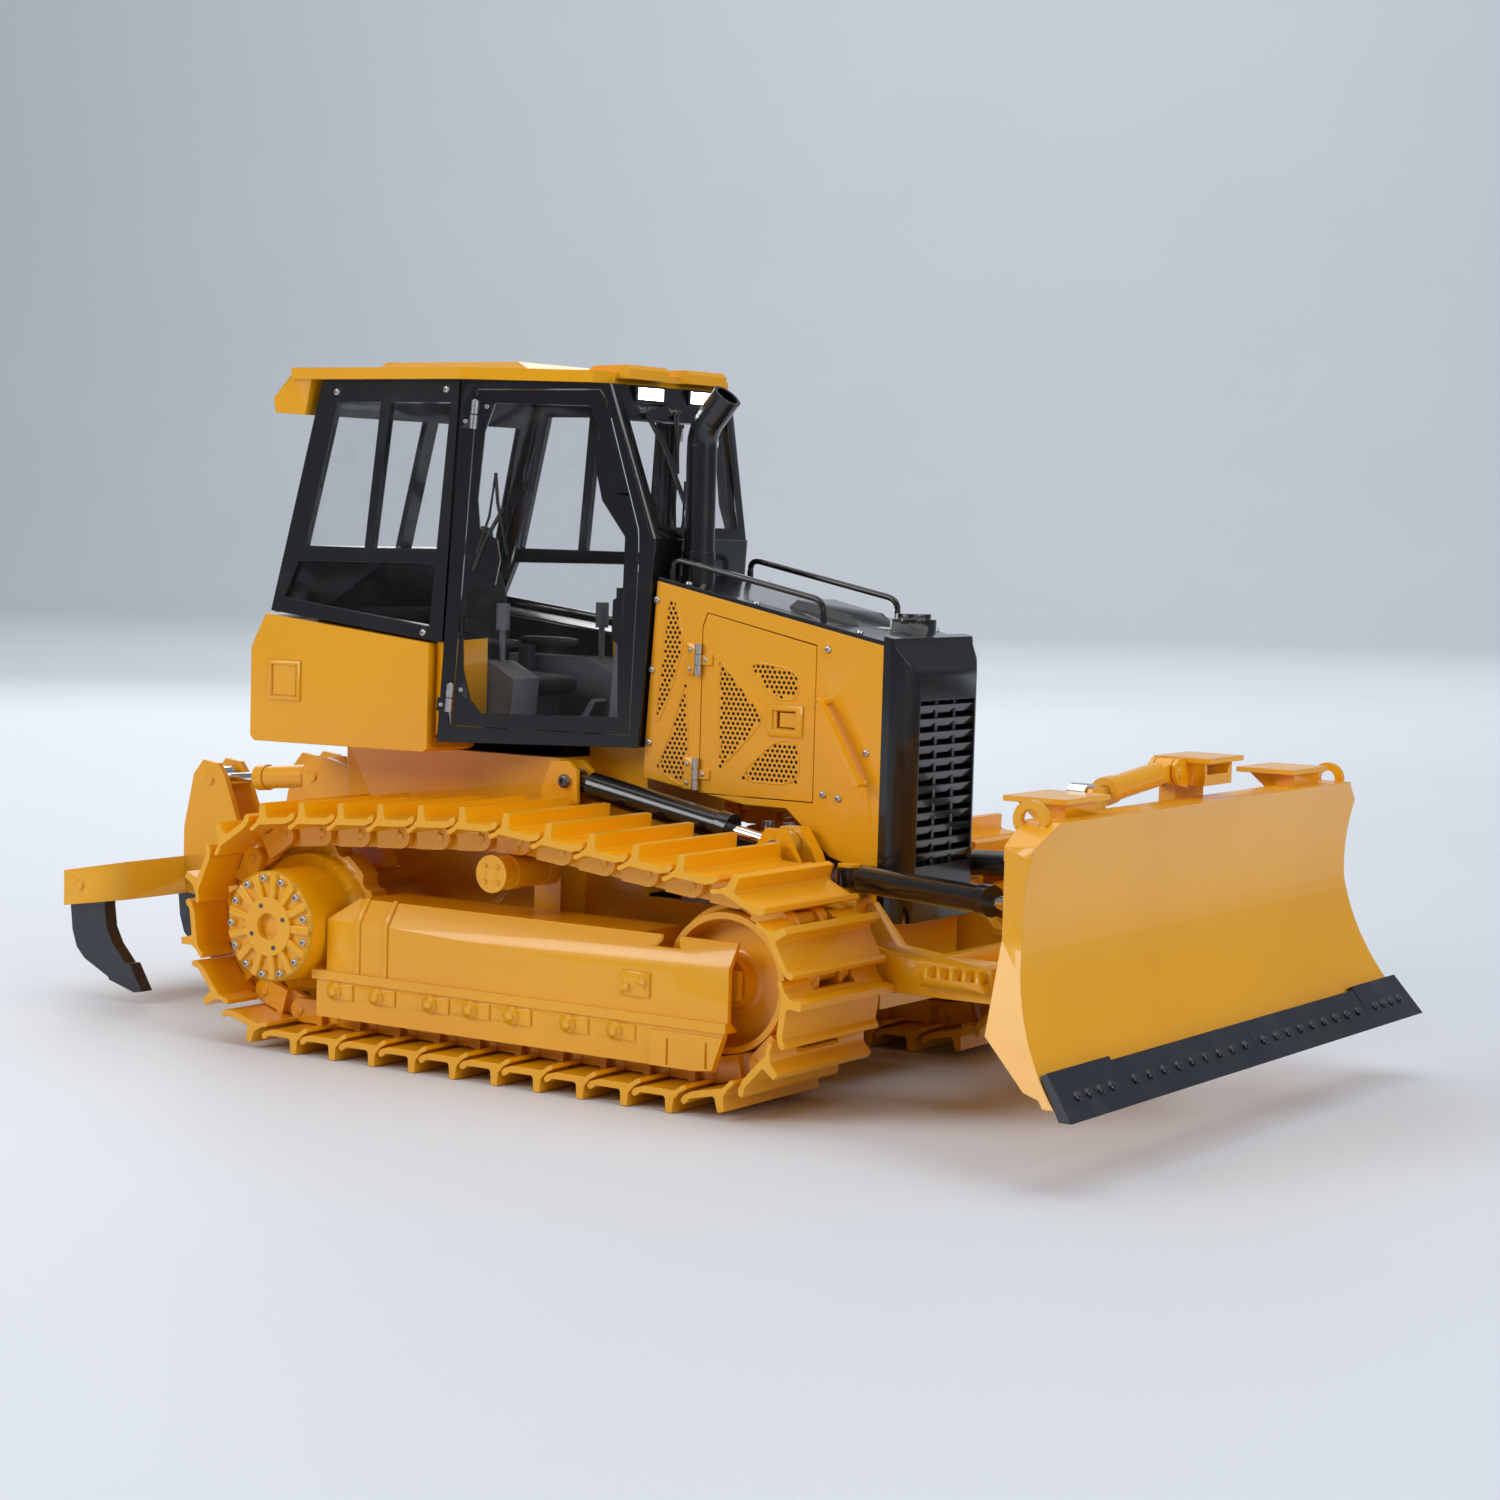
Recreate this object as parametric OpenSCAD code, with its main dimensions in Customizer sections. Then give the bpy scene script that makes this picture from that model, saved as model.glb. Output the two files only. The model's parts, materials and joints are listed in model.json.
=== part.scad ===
// Toy bulldozer with wide tracks, a six-way blade, a cab and a rear ripper.
// Millimetres. +X is forwards, +Y is the machine's left, Z = 0 is the ground.

/* [Tracks] */
// Distance between the centrelines of the two tracks
track_gauge = 161.4; // [161:0.2:200]
// Distance from the sprocket axle to the idler axle
wheel_base = 191.5; // [182:0.5:200]
// Width of a track shoe
shoe_w = 60; // [48:1:60]
// Distance from the grouser tips to the line of the track pins
shoe_stack = 13; // [12.5:0.5:15]
// Distance between two track pins round the sprocket
link_pitch = 18.79; // [18.6:0.01:19.4]
// Diameter of a track pin
pin_d = 3.2; // [2.6:0.1:3.4]

/* [Blade] */
// Width of the blade across its end bits
blade_w = 286; // [270:1:344]
// Height of the blade from the cutting edge to its top
blade_h = 87.5; // [80:0.5:94]
// Thickness of the blade's curved plate
blade_t = 3; // [2:0.1:4]

/* [Cab and hood] */
// Height of the cab from its floor to the underside of the roof
cab_h = 133; // [112:1:160]
// Width of the cab across its side walls
cab_w = 138; // [128:1:142]
// Width of the engine hood across its side panels
hood_w = 57; // [50:0.5:58]
// Thickness of the sheet that panels and doors are cut from
sheet_t = 2; // [1.2:0.1:2.4]
// Thickness of the window glass
glass_t = 1.2; // [0.8:0.1:1.6]

/* [Hydraulics] */
// Outside diameter of a lift cylinder's barrel
barrel_d = 10.4; // [8:0.2:11]
// Diameter of a cylinder's rod
rod_d = 4.6; // [3.6:0.1:5.2]
// Diameter of the pins that the cylinders swing on
hinge_d = 4; // [3:0.1:4.4]

/* [Fits] */
// Gap all round a pin or shaft that turns in a bore
run_gap = 0.06; // [0.03:0.01:0.1]
// Gap between parts that pass each other
side_gap = 0.4; // [0.3:0.05:0.6]
// Extra gap round the pins at the open ends of the cylinders
open_gap = 1.4; // [1.2:0.1:1.5]

/* [Hidden] */
$fn = 48;

yellow = "#e9a800";
black = "#16171a";
steel = "#b9bcc0";

// ---- Tracks -------------------------------------------------------------
track_y = track_gauge / 2;
teeth = 11;
pin_r = link_pitch / (2 * sin(180 / teeth));
tread_r = 26;
rail_h = 4.5;
sprocket_x = -101;
sprocket_z = shoe_stack + pin_r;
idler_x = sprocket_x + wheel_base;
idler_r = tread_r + rail_h;
// The flat rails cut across the idler between two pins, so its rim is a little smaller
rim_r = sqrt(idler_r * idler_r - link_pitch * link_pitch / 4) - rail_h - 0.2;
idler_z = shoe_stack + idler_r;
carrier_r = 7;
carrier_x = -5;
carrier_z = sprocket_z + 27;
roller_r = 6.8;
roller_z = shoe_stack + rail_h + roller_r + 0.2;
bushing_r = pin_d / 2 + 1.6;
link_in = 6.2;
link_t = 2.8;
link_out = link_in + 2 * link_t + 0.2;
axle_r = 3;

// Centres of the seven rollers, set back from the idler in groups of 2, 3 and 2
roller_steps = [0, 20, 45, 63.5, 82, 107, 127];
function roller_x(i) = idler_x - 37.5 - roller_steps[i];

// The pin line is a belt round three circles: sprocket, idler and carrier roller.
// Each circle is [x, z, radius], in the order that the belt reaches them.
belt = [[sprocket_x, sprocket_z, pin_r],
        [idler_x, idler_z, idler_r],
        [carrier_x, carrier_z, carrier_r + rail_h + 0.2]];
function after(i) = (i + 1) % 3;
function before(i) = (i + 2) % 3;
function gap_to(i) = [belt[after(i)][0] - belt[i][0], belt[after(i)][1] - belt[i][1]];
// Outward direction of the straight run that leaves circle i
function out_dir(i) = atan2(gap_to(i)[1], gap_to(i)[0])
    - acos((belt[i][2] - belt[after(i)][2]) / norm(gap_to(i)));
function run_len(i) = sqrt(pow(norm(gap_to(i)), 2) - pow(belt[i][2] - belt[after(i)][2], 2));
function turn(i) = (out_dir(i) - out_dir(before(i)) + 720) % 360;
// Length of chain on circle i: each link there is a chord, not an arc
function arc_len(i) = turn(i) / (2 * asin(link_pitch / 2 / max(belt[i][2], link_pitch)))
    * link_pitch;
function on_circle(i, a) = [belt[i][0] + belt[i][2] * cos(a), belt[i][1] + belt[i][2] * sin(a)];
belt_len = run_len(0) + run_len(1) + run_len(2) + arc_len(0) + arc_len(1) + arc_len(2);
shoe_count = round(belt_len / link_pitch);
pitch = belt_len / shoe_count;
// Point on the belt at distance s from the foot of the sprocket
function along(s, k = 0) =
    let (i = floor(k / 2), j = after(i), a = out_dir(i))
    k % 2 == 0
    ? (s <= run_len(i)
        ? on_circle(i, a) + s * [-sin(a), cos(a)]
        : along(s - run_len(i), k + 1))
    : (s <= arc_len(j) || k == 5
        ? on_circle(j, a + s / arc_len(j) * turn(j))
        : along(s - arc_len(j), k + 1));
function pin_at(i) = along((i % shoe_count) * pitch);

// ---- Cab ----------------------------------------------------------------
floor_z = 117;
roof_z = floor_z + cab_h;
cab_y = cab_w / 2;
hood_y = hood_w / 2;
post_x = -52;
post_y = cab_y;
nose_x = 11;
nose_y = 31;
door_turn = atan2(post_y - nose_y, nose_x - post_x);
door_len = norm([nose_x - post_x, post_y - nose_y]);
sill_z = 193;
door_t = 2.4;
cowl_z = sill_z - 15;

// ---- Blade linkage --------------------------------------------------------
cyl_y = 42;
lift_foot = [-13, 103];
lift_head = [80, 86];
c_pivot = [5, 42];
swivel_x = 196;
swivel_z = 48;
angle_foot = [104, -36];
angle_head = [206, -72];
angle_z = 76.5;
tilt_foot = [-3, 119.5];
tilt_head = [-66, 113.5];
tilt_x = 210;
edge_z = 23;
face_r = 80;
face_x = 302.5;
face_z = 80;
top_z = edge_z + blade_h;
half_w = blade_w / 2;

// ---- Ripper ---------------------------------------------------------------
rip_pivot = [-132, 42];
rip_foot = [-146, 95];
rip_head = [-200, 90];
rip_y = 30;

// ---- Small helpers ----------------------------------------------------------
// Draws its child and the mirror image of it on the machine's left
module both() {
    children();
    mirror([0, 1, 0]) children();
}
// Mirrors a right-hand part to the left when left is true
module hand(left) {
    if (left) mirror([0, 1, 0]) children();
    else children();
}
// A round bar along Y from y0 to y1
module bar_y(x, z, y0, y1, r) {
    translate([x, y0, z]) rotate([-90, 0, 0]) cylinder(r = r, h = y1 - y0);
}
// A round bar along Z
module bar_z(x, y, z0, z1, r) {
    translate([x, y, z0]) cylinder(r = r, h = z1 - z0);
}
// A round bar along X
module bar_x(y, z, x0, x1, r) {
    translate([x0, y, z]) rotate([0, 90, 0]) cylinder(r = r, h = x1 - x0);
}
// A plate drawn in X and Z that stands between y0 and y1
module plate_y(y0, y1) {
    translate([0, y1, 0]) rotate([90, 0, 0]) linear_extrude(y1 - y0) children();
}
module box(x0, x1, y0, y1, z0, z1) {
    translate([x0, y0, z0]) cube([x1 - x0, y1 - y0, z1 - z0]);
}
// A 2D bar with round ends between two points
module slot_2d(a, b, r) {
    d = b - a;
    translate(a) circle(r);
    translate(b) circle(r);
    translate(a) rotate(atan2(d[1], d[0])) translate([0, -r]) square([norm(d), 2 * r]);
}

// ---- Track parts ------------------------------------------------------------
// Puts its child on link i: X along the belt, Z towards the inside of the belt. $half is
// half the distance between the link's two pins.
module on_link(i) {
    a = pin_at(i);
    b = pin_at(i + 1);
    m = (a + b) / 2;
    $half = norm(b - a) / 2;
    translate([m[0], -track_y, m[1]]) rotate([0, -atan2(b[1] - a[1], b[0] - a[0]), 0])
        children();
}

// One side plate of a link: its back half lies outside its front half
module link_plate(y_side) {
    h = $half;
    in0 = link_in;
    out0 = link_in + link_t + 0.2;
    mirror([0, y_side, 0]) {
        difference() {
            union() {
                bar_y(h, 0, in0, in0 + link_t, rail_h);
                box(-1.4, h, in0, in0 + link_t, -rail_h, rail_h);
            }
            bar_y(h, 0, in0 - 1, in0 + link_t + 1, pin_d / 2 + run_gap);
        }
        bar_y(-h, 0, out0, link_out, rail_h);
        box(-h, 1.4, out0, link_out, -rail_h, rail_h);
        box(-1.4, 1.4, in0, link_out, -rail_h - 0.5, rail_h);
    }
}

module track_link() {
    link_plate(0);
    link_plate(1);
    bar_y(-$half, 0, -link_out - 0.4, link_out + 0.4, pin_d / 2);
    bar_y(-$half, 0, -link_in + 0.2, link_in - 0.2, bushing_r);
}

module track_chain(left) {
    color(yellow) hand(left) for (i = [0:shoe_count - 1]) on_link(i) track_link();
}

// Section of a shoe: a plate, a tall grouser, a curled back lip and a raised front lip
plate_z = -rail_h - 0.5;
module shoe_section(front_lip) {
    polygon([[-7.5, plate_z], [-11.2, -6.2], [-12.4, -7.7], [-11.6, -9.1], [-10.2, -8.6],
        [-8.8, -7.4], [0.9, -7.4], [1.6, -8.2], [1.9, -shoe_stack], [4.5, -shoe_stack],
        [5, -8.2], [5.9, -7.2], each (front_lip ? [[7.4, -5.6], [10.3, -4], [9.9, -2.9],
        [8.8, -2.8]] : [[6.2, -6]]), [5.4, plate_z]]);
}

module track_shoe() {
    relief = link_out + 1.4;
    for (y0 = [-shoe_w / 2, relief])
        plate_y(y0, y0 + shoe_w / 2 - relief) shoe_section(true);
    plate_y(-relief, relief) shoe_section(false);
}

module track_shoes(left) {
    color(yellow) hand(left) for (i = [0:shoe_count - 1]) on_link(i) track_shoe();
}

// Final drive: toothed ring, deep hub drum and a ribbed cover, which turn together
drum_r = 20.7;
drum_in = 4.2;
drum_out = 29.4;
module sprocket(left) {
    color(yellow) hand(left) translate([sprocket_x, -track_y, sprocket_z]) difference() {
        union() {
            difference() {
                bar_y(0, 0, -drum_in, drum_in, pin_r - bushing_r - 0.25);
                for (i = [0:teeth - 1]) rotate([0, i * 360 / teeth, 0])
                    bar_y(pin_r - 1.8, 0, -drum_in - 1, drum_in + 1, bushing_r + 0.5);
            }
            bar_y(0, 0, -drum_out, -drum_in, drum_r);
            bar_y(0, 0, -8.5, -drum_in, 25.5);
            bar_y(0, 0, -drum_out - 1.6, -drum_out + 0.3, 11);
            for (i = [0:12]) rotate([0, i * 360 / 13, 0])
                box(8.5, drum_r - 1, -drum_out - 1.4, -drum_out + 0.3, -1.5, 1.5);
            for (i = [0:12]) rotate([0, (i + 0.5) * 360 / 13, 0])
                bar_y(drum_r - 2.7, 0, -drum_out - 1.2, -drum_out + 0.3, 1.5);
        }
        bar_y(0, 0, -drum_in - 14, drum_in + 1, axle_r + 5 + run_gap);
        bar_y(0, 0, -drum_out - 3, -drum_out + 1.2, 5);
    }
}

module idler(left) {
    color(yellow) hand(left) translate([idler_x, -track_y, idler_z])
        rotate([90, 0, 0]) rotate_extrude($fn = 96) polygon([
            [axle_r + run_gap, -12], [9, -12], [9, -7], [20.6, -5], [22, -12.4],
            [rim_r, -12.4], [rim_r, -5.8], [tread_r + 0.8, -5.2],
            [tread_r + 0.8, 5.2], [rim_r, 5.8], [rim_r, 12.4], [22, 12.4],
            [20.6, 5], [9, 7], [9, 12], [axle_r + run_gap, 12]]);
}

module carrier_rollers() {
    color(yellow) both() translate([carrier_x, -track_y, carrier_z]) difference() {
        union() {
            bar_y(0, 0, -19.3, 12, carrier_r - 1);
            for (y0 = [-12, link_in + 0.4]) bar_y(0, 0, y0, y0 + 5.4, carrier_r - 0.7);
            bar_y(0, 0, -20.5, -19.3, carrier_r - 0.2);
            for (a = [45:90:315]) rotate([0, a, 0]) bar_y(4, 0, -21.1, -20.4, 0.9);
        }
        bar_y(0, 0, -14, 13, axle_r + run_gap);
    }
}

module bottom_rollers(i) {
    color(yellow) both() translate([roller_x(i), -track_y, roller_z]) difference() {
        union() {
            bar_y(0, 0, -12, 12, 3.6);
            for (y0 = [-12, link_in + 0.4]) bar_y(0, 0, y0, y0 + 5.4, roller_r);
        }
        bar_y(0, 0, -13, 13, 2 + run_gap);
    }
}

// Track frame: a box beam over the rollers, with the roller, carrier and idler shafts
beam_in = track_y - 16;
beam_out = track_y + 16;
beam_z0 = roller_z + roller_r + 1.8;
beam_z1 = beam_z0 + 20;
rear_x = sprocket_x + 33;
guard_y = track_y + 22.4;
module track_frame(left) {
    front_x = idler_x - tread_r - 5;
    color(yellow) hand(left) {
        difference() {
            union() {
                box(rear_x, front_x, -beam_out, -beam_in, beam_z0, beam_z1);
                for (y0 = [-beam_in - 2.6, -beam_out])
                    plate_y(y0, y0 + 2.6) polygon([[rear_x, beam_z0 + 4],
                        [roller_x(6) - 4.5, roller_z + 5], [roller_x(6) - 4.5, roller_z - 3],
                        [front_x - 3, roller_z - 3], [front_x, beam_z0 - 1],
                        [idler_x + 8, idler_z - 5], [idler_x + 8, idler_z + 5],
                        [front_x, beam_z1], [front_x - 8, beam_z1]]);
                box(carrier_x - 6, carrier_x + 6, -beam_in - 3, -beam_in, beam_z1 - 4,
                    carrier_z + 5);
            }
            box(rear_x + 3, front_x - 3, -beam_out + 3, -beam_in - 3, beam_z0 + 3,
                beam_z1 - 3);
        }
        for (i = [0:6]) bar_y(roller_x(i), roller_z, -beam_out + 1, -beam_in - 1, 2);
        bar_y(idler_x, idler_z, -beam_out + 1, -beam_in - 1, axle_r);
        bar_y(carrier_x, carrier_z, -track_y - 13, -beam_in - 1, axle_r);
    }
}

// Guard: a hollow cover over the frame, a lip and a lower plate with roller bosses
module track_guard(left) {
    g0 = sprocket_x + drum_r + 1;
    g1 = idler_x + 8.3;
    lip_z = 31.5;
    top = 58.5;
    inner = beam_out + 0.02;
    flat0 = rear_x;
    flat1 = idler_x - tread_r - 6;
    color(yellow) hand(left) {
        difference() {
            translate([g0, 0, 0]) rotate([90, 0, 90]) linear_extrude(g1 - g0)
                polygon([[-inner, lip_z], [-guard_y, lip_z], [-guard_y, 50],
                    [-guard_y + 5.6, top], [-inner, top]]);
            translate([g0 + 2.5, 0, 0]) rotate([90, 0, 90]) linear_extrude(g1 - g0)
                polygon([[-inner + 1, lip_z - 1], [-guard_y + 2, lip_z - 1],
                    [-guard_y + 2, 49.4], [-guard_y + 6.2, top - 2], [-inner + 1, top - 2]]);
            plate_y(-guard_y - 1, -inner + 1) polygon([[g0 - 1, 50], [g0 + 12, top + 1],
                [g0 - 1, top + 1]]);
            translate([idler_x - 20, -inner - 3.4, top - 4]) rotate([0, 0, 45])
                box(-4.5, 4.5, -4.5, 4.5, 0, 6);
        }
        // Flat top that rests over the beam
        box(flat0, flat1, -inner - 0.5, -track_y + 8, beam_z1 + 0.02, top);
        for (x = [g0 + 14, g0 + 27]) translate([x, 0, 0]) rotate([90, 0, 90])
            linear_extrude(2) polygon([[-guard_y + 0.5, lip_z], [-guard_y - 0.6, lip_z],
                [-guard_y - 0.6, 50.3], [-guard_y + 5.4, top + 0.7], [-inner, top + 0.7],
                [-inner, top - 1], [-guard_y + 6, top - 1], [-guard_y + 0.5, 49.5]]);
        box(g0 - 6, g1, -guard_y - 1.4, -inner, lip_z - 3.5, lip_z);
        plate_y(-guard_y - 0.8, -guard_y + 1.6) polygon([[g0 - 4, lip_z - 3.5],
            [g0 - 4, 14.2], [g1 - 12, 14.2], [g1 - 5, 15], [g1 - 1, 27], [g1 - 1, lip_z - 3.5]]);
        plate_y(-guard_y - 1.6, -guard_y - 0.8) difference() {
            polygon([[g1 - 31, 26.6], [g1 - 31, 14.2], [g1 - 12, 14.2], [g1 - 5, 15],
                [g1 - 1, 26.6]]);
            translate([g1 - 24, 15]) square([0.9, 9]);
            translate([g1 - 8, 15.5]) square([0.9, 9]);
        }
        for (i = [0:6]) {
            bar_y(roller_x(i), roller_z, -guard_y - 2.4, -guard_y - 0.8, 3.2);
            bar_y(roller_x(i), roller_z, -guard_y - 3, -guard_y - 2.4, 1.7);
            box(roller_x(i) - 1, roller_x(i) + 8.4, -guard_y - 1.6, -guard_y - 0.8,
                roller_z - 3, roller_z + 2.6);
        }
        box(idler_x - 36, idler_x - 24, -guard_y - 1, -guard_y + 0.5, 37, 45.5);
        for (p = [[-33.5, 40], [-26.5, 42.5]])
            bar_y(idler_x + p[0], p[1], -guard_y - 2.2, -guard_y - 1, 1.5);
    }
}

// ---- Main frame -------------------------------------------------------------
belly_z = 29;
tub_y = 44;
module main_frame() {
    color(yellow) {
        difference() {
            union() {
                box(-122, -18, -tub_y, tub_y, belly_z, 111);
                box(-18, 113, -27, 27, belly_z, 60);
                box(-18, 9, -26, 26, 60, 116);
            }
            box(-117, -24, -tub_y + 4, tub_y - 4, belly_z + 4, 112);
            box(-25, 105, -23, 23, belly_z + 4, 61);
            box(-25, 6.5, -23, 23, 60, 117);
        }
        both() {
            bar_y(sprocket_x, sprocket_z, -track_y - 12, -tub_y + 2, axle_r + 5);
            bar_y(sprocket_x, sprocket_z, -track_y + drum_in + 0.6, -tub_y, 19);
            bar_y(-60, 38, -beam_in + 0.02, -tub_y, 8);
            bar_y(-26, 38, -beam_in + 0.02, -tub_y, 6);
            bar_y(c_pivot[0], c_pivot[1], -37.6, -25, hinge_d / 2 + 1.5);
            // Lift cylinder bracket, a fork beside the barrel's eye
            for (y0 = [-cyl_y - 5.6, -cyl_y + 3.6]) plate_y(y0, y0 + 2)
                difference() {
                    polygon([[-24, 76], [-11, 76], [-7.5, 96], [-8, 107], [-12, 110.5],
                        [-20, 110], [-24, 100]]);
                    translate(lift_foot) circle(hinge_d / 2 - 0.5);
                }
            box(-24, -18, -cyl_y - 3.6, -cyl_y + 3.6, 78, 98);
            box(-24, -18, -cyl_y - 5.6, -tub_y + 1, 76, 98);
            bar_y(lift_foot[0], lift_foot[1], -cyl_y - 6.4, -cyl_y + 6.4, hinge_d / 2);
            // Ripper lugs
            for (y0 = [-rip_y - 6.8, -rip_y + 4.3]) plate_y(y0, y0 + 2.5)
                polygon([[-121, 74], [-130, 76], [-151, 90], [-152, 98], [-147, 102.5],
                    [-139, 103], [-121, 98]]);
            bar_y(rip_foot[0], rip_foot[1], -rip_y - 7.6, -rip_y + 7.6, hinge_d / 2);
            plate_y(-rip_y - 10.5, -rip_y - 7.5) polygon([[-121, 32], [-134, 34],
                [-139, 42], [-134, 50], [-121, 57]]);
            plate_y(-rip_y + 7.5, -rip_y + 10.5) polygon([[-121, 32], [-134, 34],
                [-139, 42], [-134, 50], [-121, 57]]);
            bar_y(rip_pivot[0], rip_pivot[1], -rip_y - 11.4, -rip_y + 11.4, 2.5);
        }
    }
}

// ---- Hood ---------------------------------------------------------------------
// The hood's top line falls from the cab to the grille
hood_front = 111;
hood_back = 13;
function hood_line(x) = cowl_z - 0.2 * (x - hood_back);
module hood_side_2d() {
    polygon([[hood_back, hood_line(hood_back)], [hood_back - 4, 116], [hood_back - 4, 105],
        [54, 98], [72, 98], [78, 93], [91, 82], [98, 80], [hood_front, 80],
        [hood_front, hood_line(hood_front)]]);
}
door_x0 = 34;
door_x1 = 83;
door_z0 = 101;
module hood_door_2d(grow) {
    polygon([[door_x0 - grow, door_z0 - grow], [door_x1 + grow, door_z0 - grow],
        [door_x1 + grow, hood_line(door_x1) - 7 + grow],
        [door_x0 + 2 - grow, hood_line(door_x0) - 7 + grow],
        [door_x0 - grow, hood_line(door_x0) - 12 + grow]]);
}
module hood_panels() {
    color(yellow) both() {
        plate_y(-hood_y, -hood_y + sheet_t) difference() {
            hood_side_2d();
            hood_door_2d(0.4);
        }
        // Grab handle
        for (p = [[88.6, 137.5], [105.3, 109.5]]) bar_y(p[0], p[1], -hood_y - 6, -hood_y, 1.3);
        plate_y(-hood_y - 7.3, -hood_y - 4.7) slot_2d([88.6, 137.5], [105.3, 109.5], 1.3);
        // Fixed knuckles of the door hinges, outside the panel
        for (z = [102, 144]) {
            for (k = [0, 8]) {
                bar_z(door_x0 - 1, -hood_y - 1.4, z + k, z + k + 3.6, 1.4);
                box(door_x0 - 4, door_x0 - 1, -hood_y - 0.9, -hood_y + 0.1, z + k, z + k + 3.6);
            }
            box(door_x0 - 6.5, door_x0 - 2.8, -hood_y - 0.9, -hood_y + 0.1, z, z + 11.6);
            bar_z(door_x0 - 1, -hood_y - 1.4, z, z + 11.6, 0.6);
        }
    }
}
module hood_door(left) {
    color(yellow) hand(left) {
        plate_y(-hood_y, -hood_y + sheet_t) difference() {
            hood_door_2d(0);
            translate([67, 126.8]) square([8, 6]);
        }
        plate_y(-hood_y - 0.7, -hood_y) difference() {
            translate([63.3, 123.8]) square([14.9, 11.2]);
            translate([65.3, 126.2]) square([10, 7]);
        }
        box(68.5, 76.5, -hood_y - 0.3, -hood_y + 1.4, 127.2, 132.4);
        difference() {
            for (z = [106, 148]) {
                bar_z(door_x0 - 1, -hood_y - 1.4, z, z + 3.6, 1.4);
                box(door_x0 - 0.6, door_x0 + 4.6, -hood_y - 0.9, -hood_y - 0.05, z, z + 3.6);
                box(door_x0 + 0.3, door_x0 + 4.6, -hood_y - 0.5, -hood_y + 0.1, z, z + 3.6);
            }
            bar_z(door_x0 - 1, -hood_y - 1.4, 100, 160, 0.6 + run_gap);
        }
    }
}
module hood_top() {
    color(black) difference() {
        union() {
            plate_y(-hood_y + sheet_t, hood_y - sheet_t) polygon([
                [hood_back, hood_line(hood_back) - 4], [hood_back, hood_line(hood_back) + 1.6],
                [hood_front, hood_line(hood_front) + 1.6],
                [hood_front, hood_line(hood_front) - 4]]);
            plate_y(-hood_y, hood_y) polygon([
                [hood_back, hood_line(hood_back)], [hood_back, hood_line(hood_back) + 1.6],
                [hood_front, hood_line(hood_front) + 1.6],
                [hood_front, hood_line(hood_front)]]);
            translate([60, 0, 0]) plate_y(-12, 12) polygon([
                [0, hood_line(60) + 1], [4, hood_line(64) + 5], [26, hood_line(86) + 5],
                [32, hood_line(92) + 1]]);
            bar_z(99, 12, hood_line(99) - 2, hood_line(99) + 6, 8.5);
            bar_z(99, 12, hood_line(99) + 6, hood_line(99) + 8, 6.5);
        }
        bar_z(stack_x, stack_y, 140, 200, stack_r + 0.6);
        both() for (x = [18, 84])
            bar_z(x, -hood_y + 2.5, hood_line(x) - 0.1, hood_line(x) + 4, 1.23);
        plate_y(-hood_y + 4, hood_y - 4) polygon([
            [hood_back + 2, hood_line(hood_back) - 5], [hood_back + 2, hood_line(hood_back) - 1],
            [hood_front - 3, hood_line(hood_front) - 1],
            [hood_front - 3, hood_line(hood_front) - 5]]);
    }
}
grille_x0 = hood_front + 0.05;
grille_x1 = 121.5;
module grille() {
    gy = hood_y - 1;
    z1 = 153;
    color(black) {
        difference() {
            translate([0, 0, 60.05]) linear_extrude(z1 + 12 - 60)
                polygon([[grille_x0, -gy - 1], [grille_x0 + 3, -gy - 1], [grille_x1 - 3, -gy + 2],
                    [grille_x1, -gy + 7], [grille_x1, gy - 7], [grille_x1 - 3, gy - 2],
                    [grille_x0 + 3, gy + 1], [grille_x0, gy + 1]]);
            plate_y(-40, 40) polygon([[grille_x0 - 1, z1 + 9], [grille_x0 + 4, z1 + 8],
                [grille_x1 - 6, z1 + 5], [grille_x1 - 1, z1 - 3], [grille_x1 + 1, z1 - 8],
                [grille_x1 + 1, z1 + 20], [grille_x0 - 1, z1 + 20]]);
            box(grille_x0 - 1, grille_x1 - 6, -gy + 3, gy - 3, 64, z1 - 3);
            box(grille_x1 - 4, grille_x1 + 1, -gy + 8, gy - 8, 80, 139);
            box(grille_x0 - 1, grille_x1 - 1, -gy + 8, gy - 8, 82, 137);
            box(grille_x0 - 1, 120, -24, 24, 59, 66);
        }
        // Upright bars and slats
        for (y = [-6.5, 6.5]) box(grille_x1 - 3.2, grille_x1 - 1, y - 0.9, y + 0.9, 80, 139);
        for (i = [0:11]) translate([grille_x1 - 2.6, -gy + 7.5, 82 + i * 4.8])
            rotate([0, 25, 0]) cube([1, 2 * gy - 15, 3.2]);
        // Radiator core behind the slats
        box(grille_x0 + 1, grille_x0 + 3.5, -gy + 3, gy - 3, 66, z1 - 3);
    }
}
stack_r = 5.6;
stack_x = 20;
stack_y = -12;
module exhaust_stack() {
    bend_r = 16;
    bend_z = 228;
    tilt = 40;
    foot = hood_line(stack_x) - 12;
    color(black) translate([stack_x, stack_y, 0]) difference() {
        union() {
            bar_z(0, 0, foot, bend_z + 0.4, stack_r + 0.05);
            bar_z(0, 0, foot, 189, stack_r + 0.5);
            translate([bend_r, 0, bend_z]) {
                rotate([90, 0, 0]) rotate([0, 0, 180 - tilt]) rotate_extrude(angle = tilt)
                    translate([bend_r, 0]) circle(stack_r);
                rotate([0, tilt, 0]) translate([-bend_r, 0, -0.4])
                    cylinder(r = stack_r + 0.05, h = 11.4);
            }
        }
        translate([bend_r, 0, bend_z]) rotate([0, tilt, 0]) translate([-bend_r, 0, 1.5])
            cylinder(r = stack_r - 1.2, h = 14);
    }
}
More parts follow.
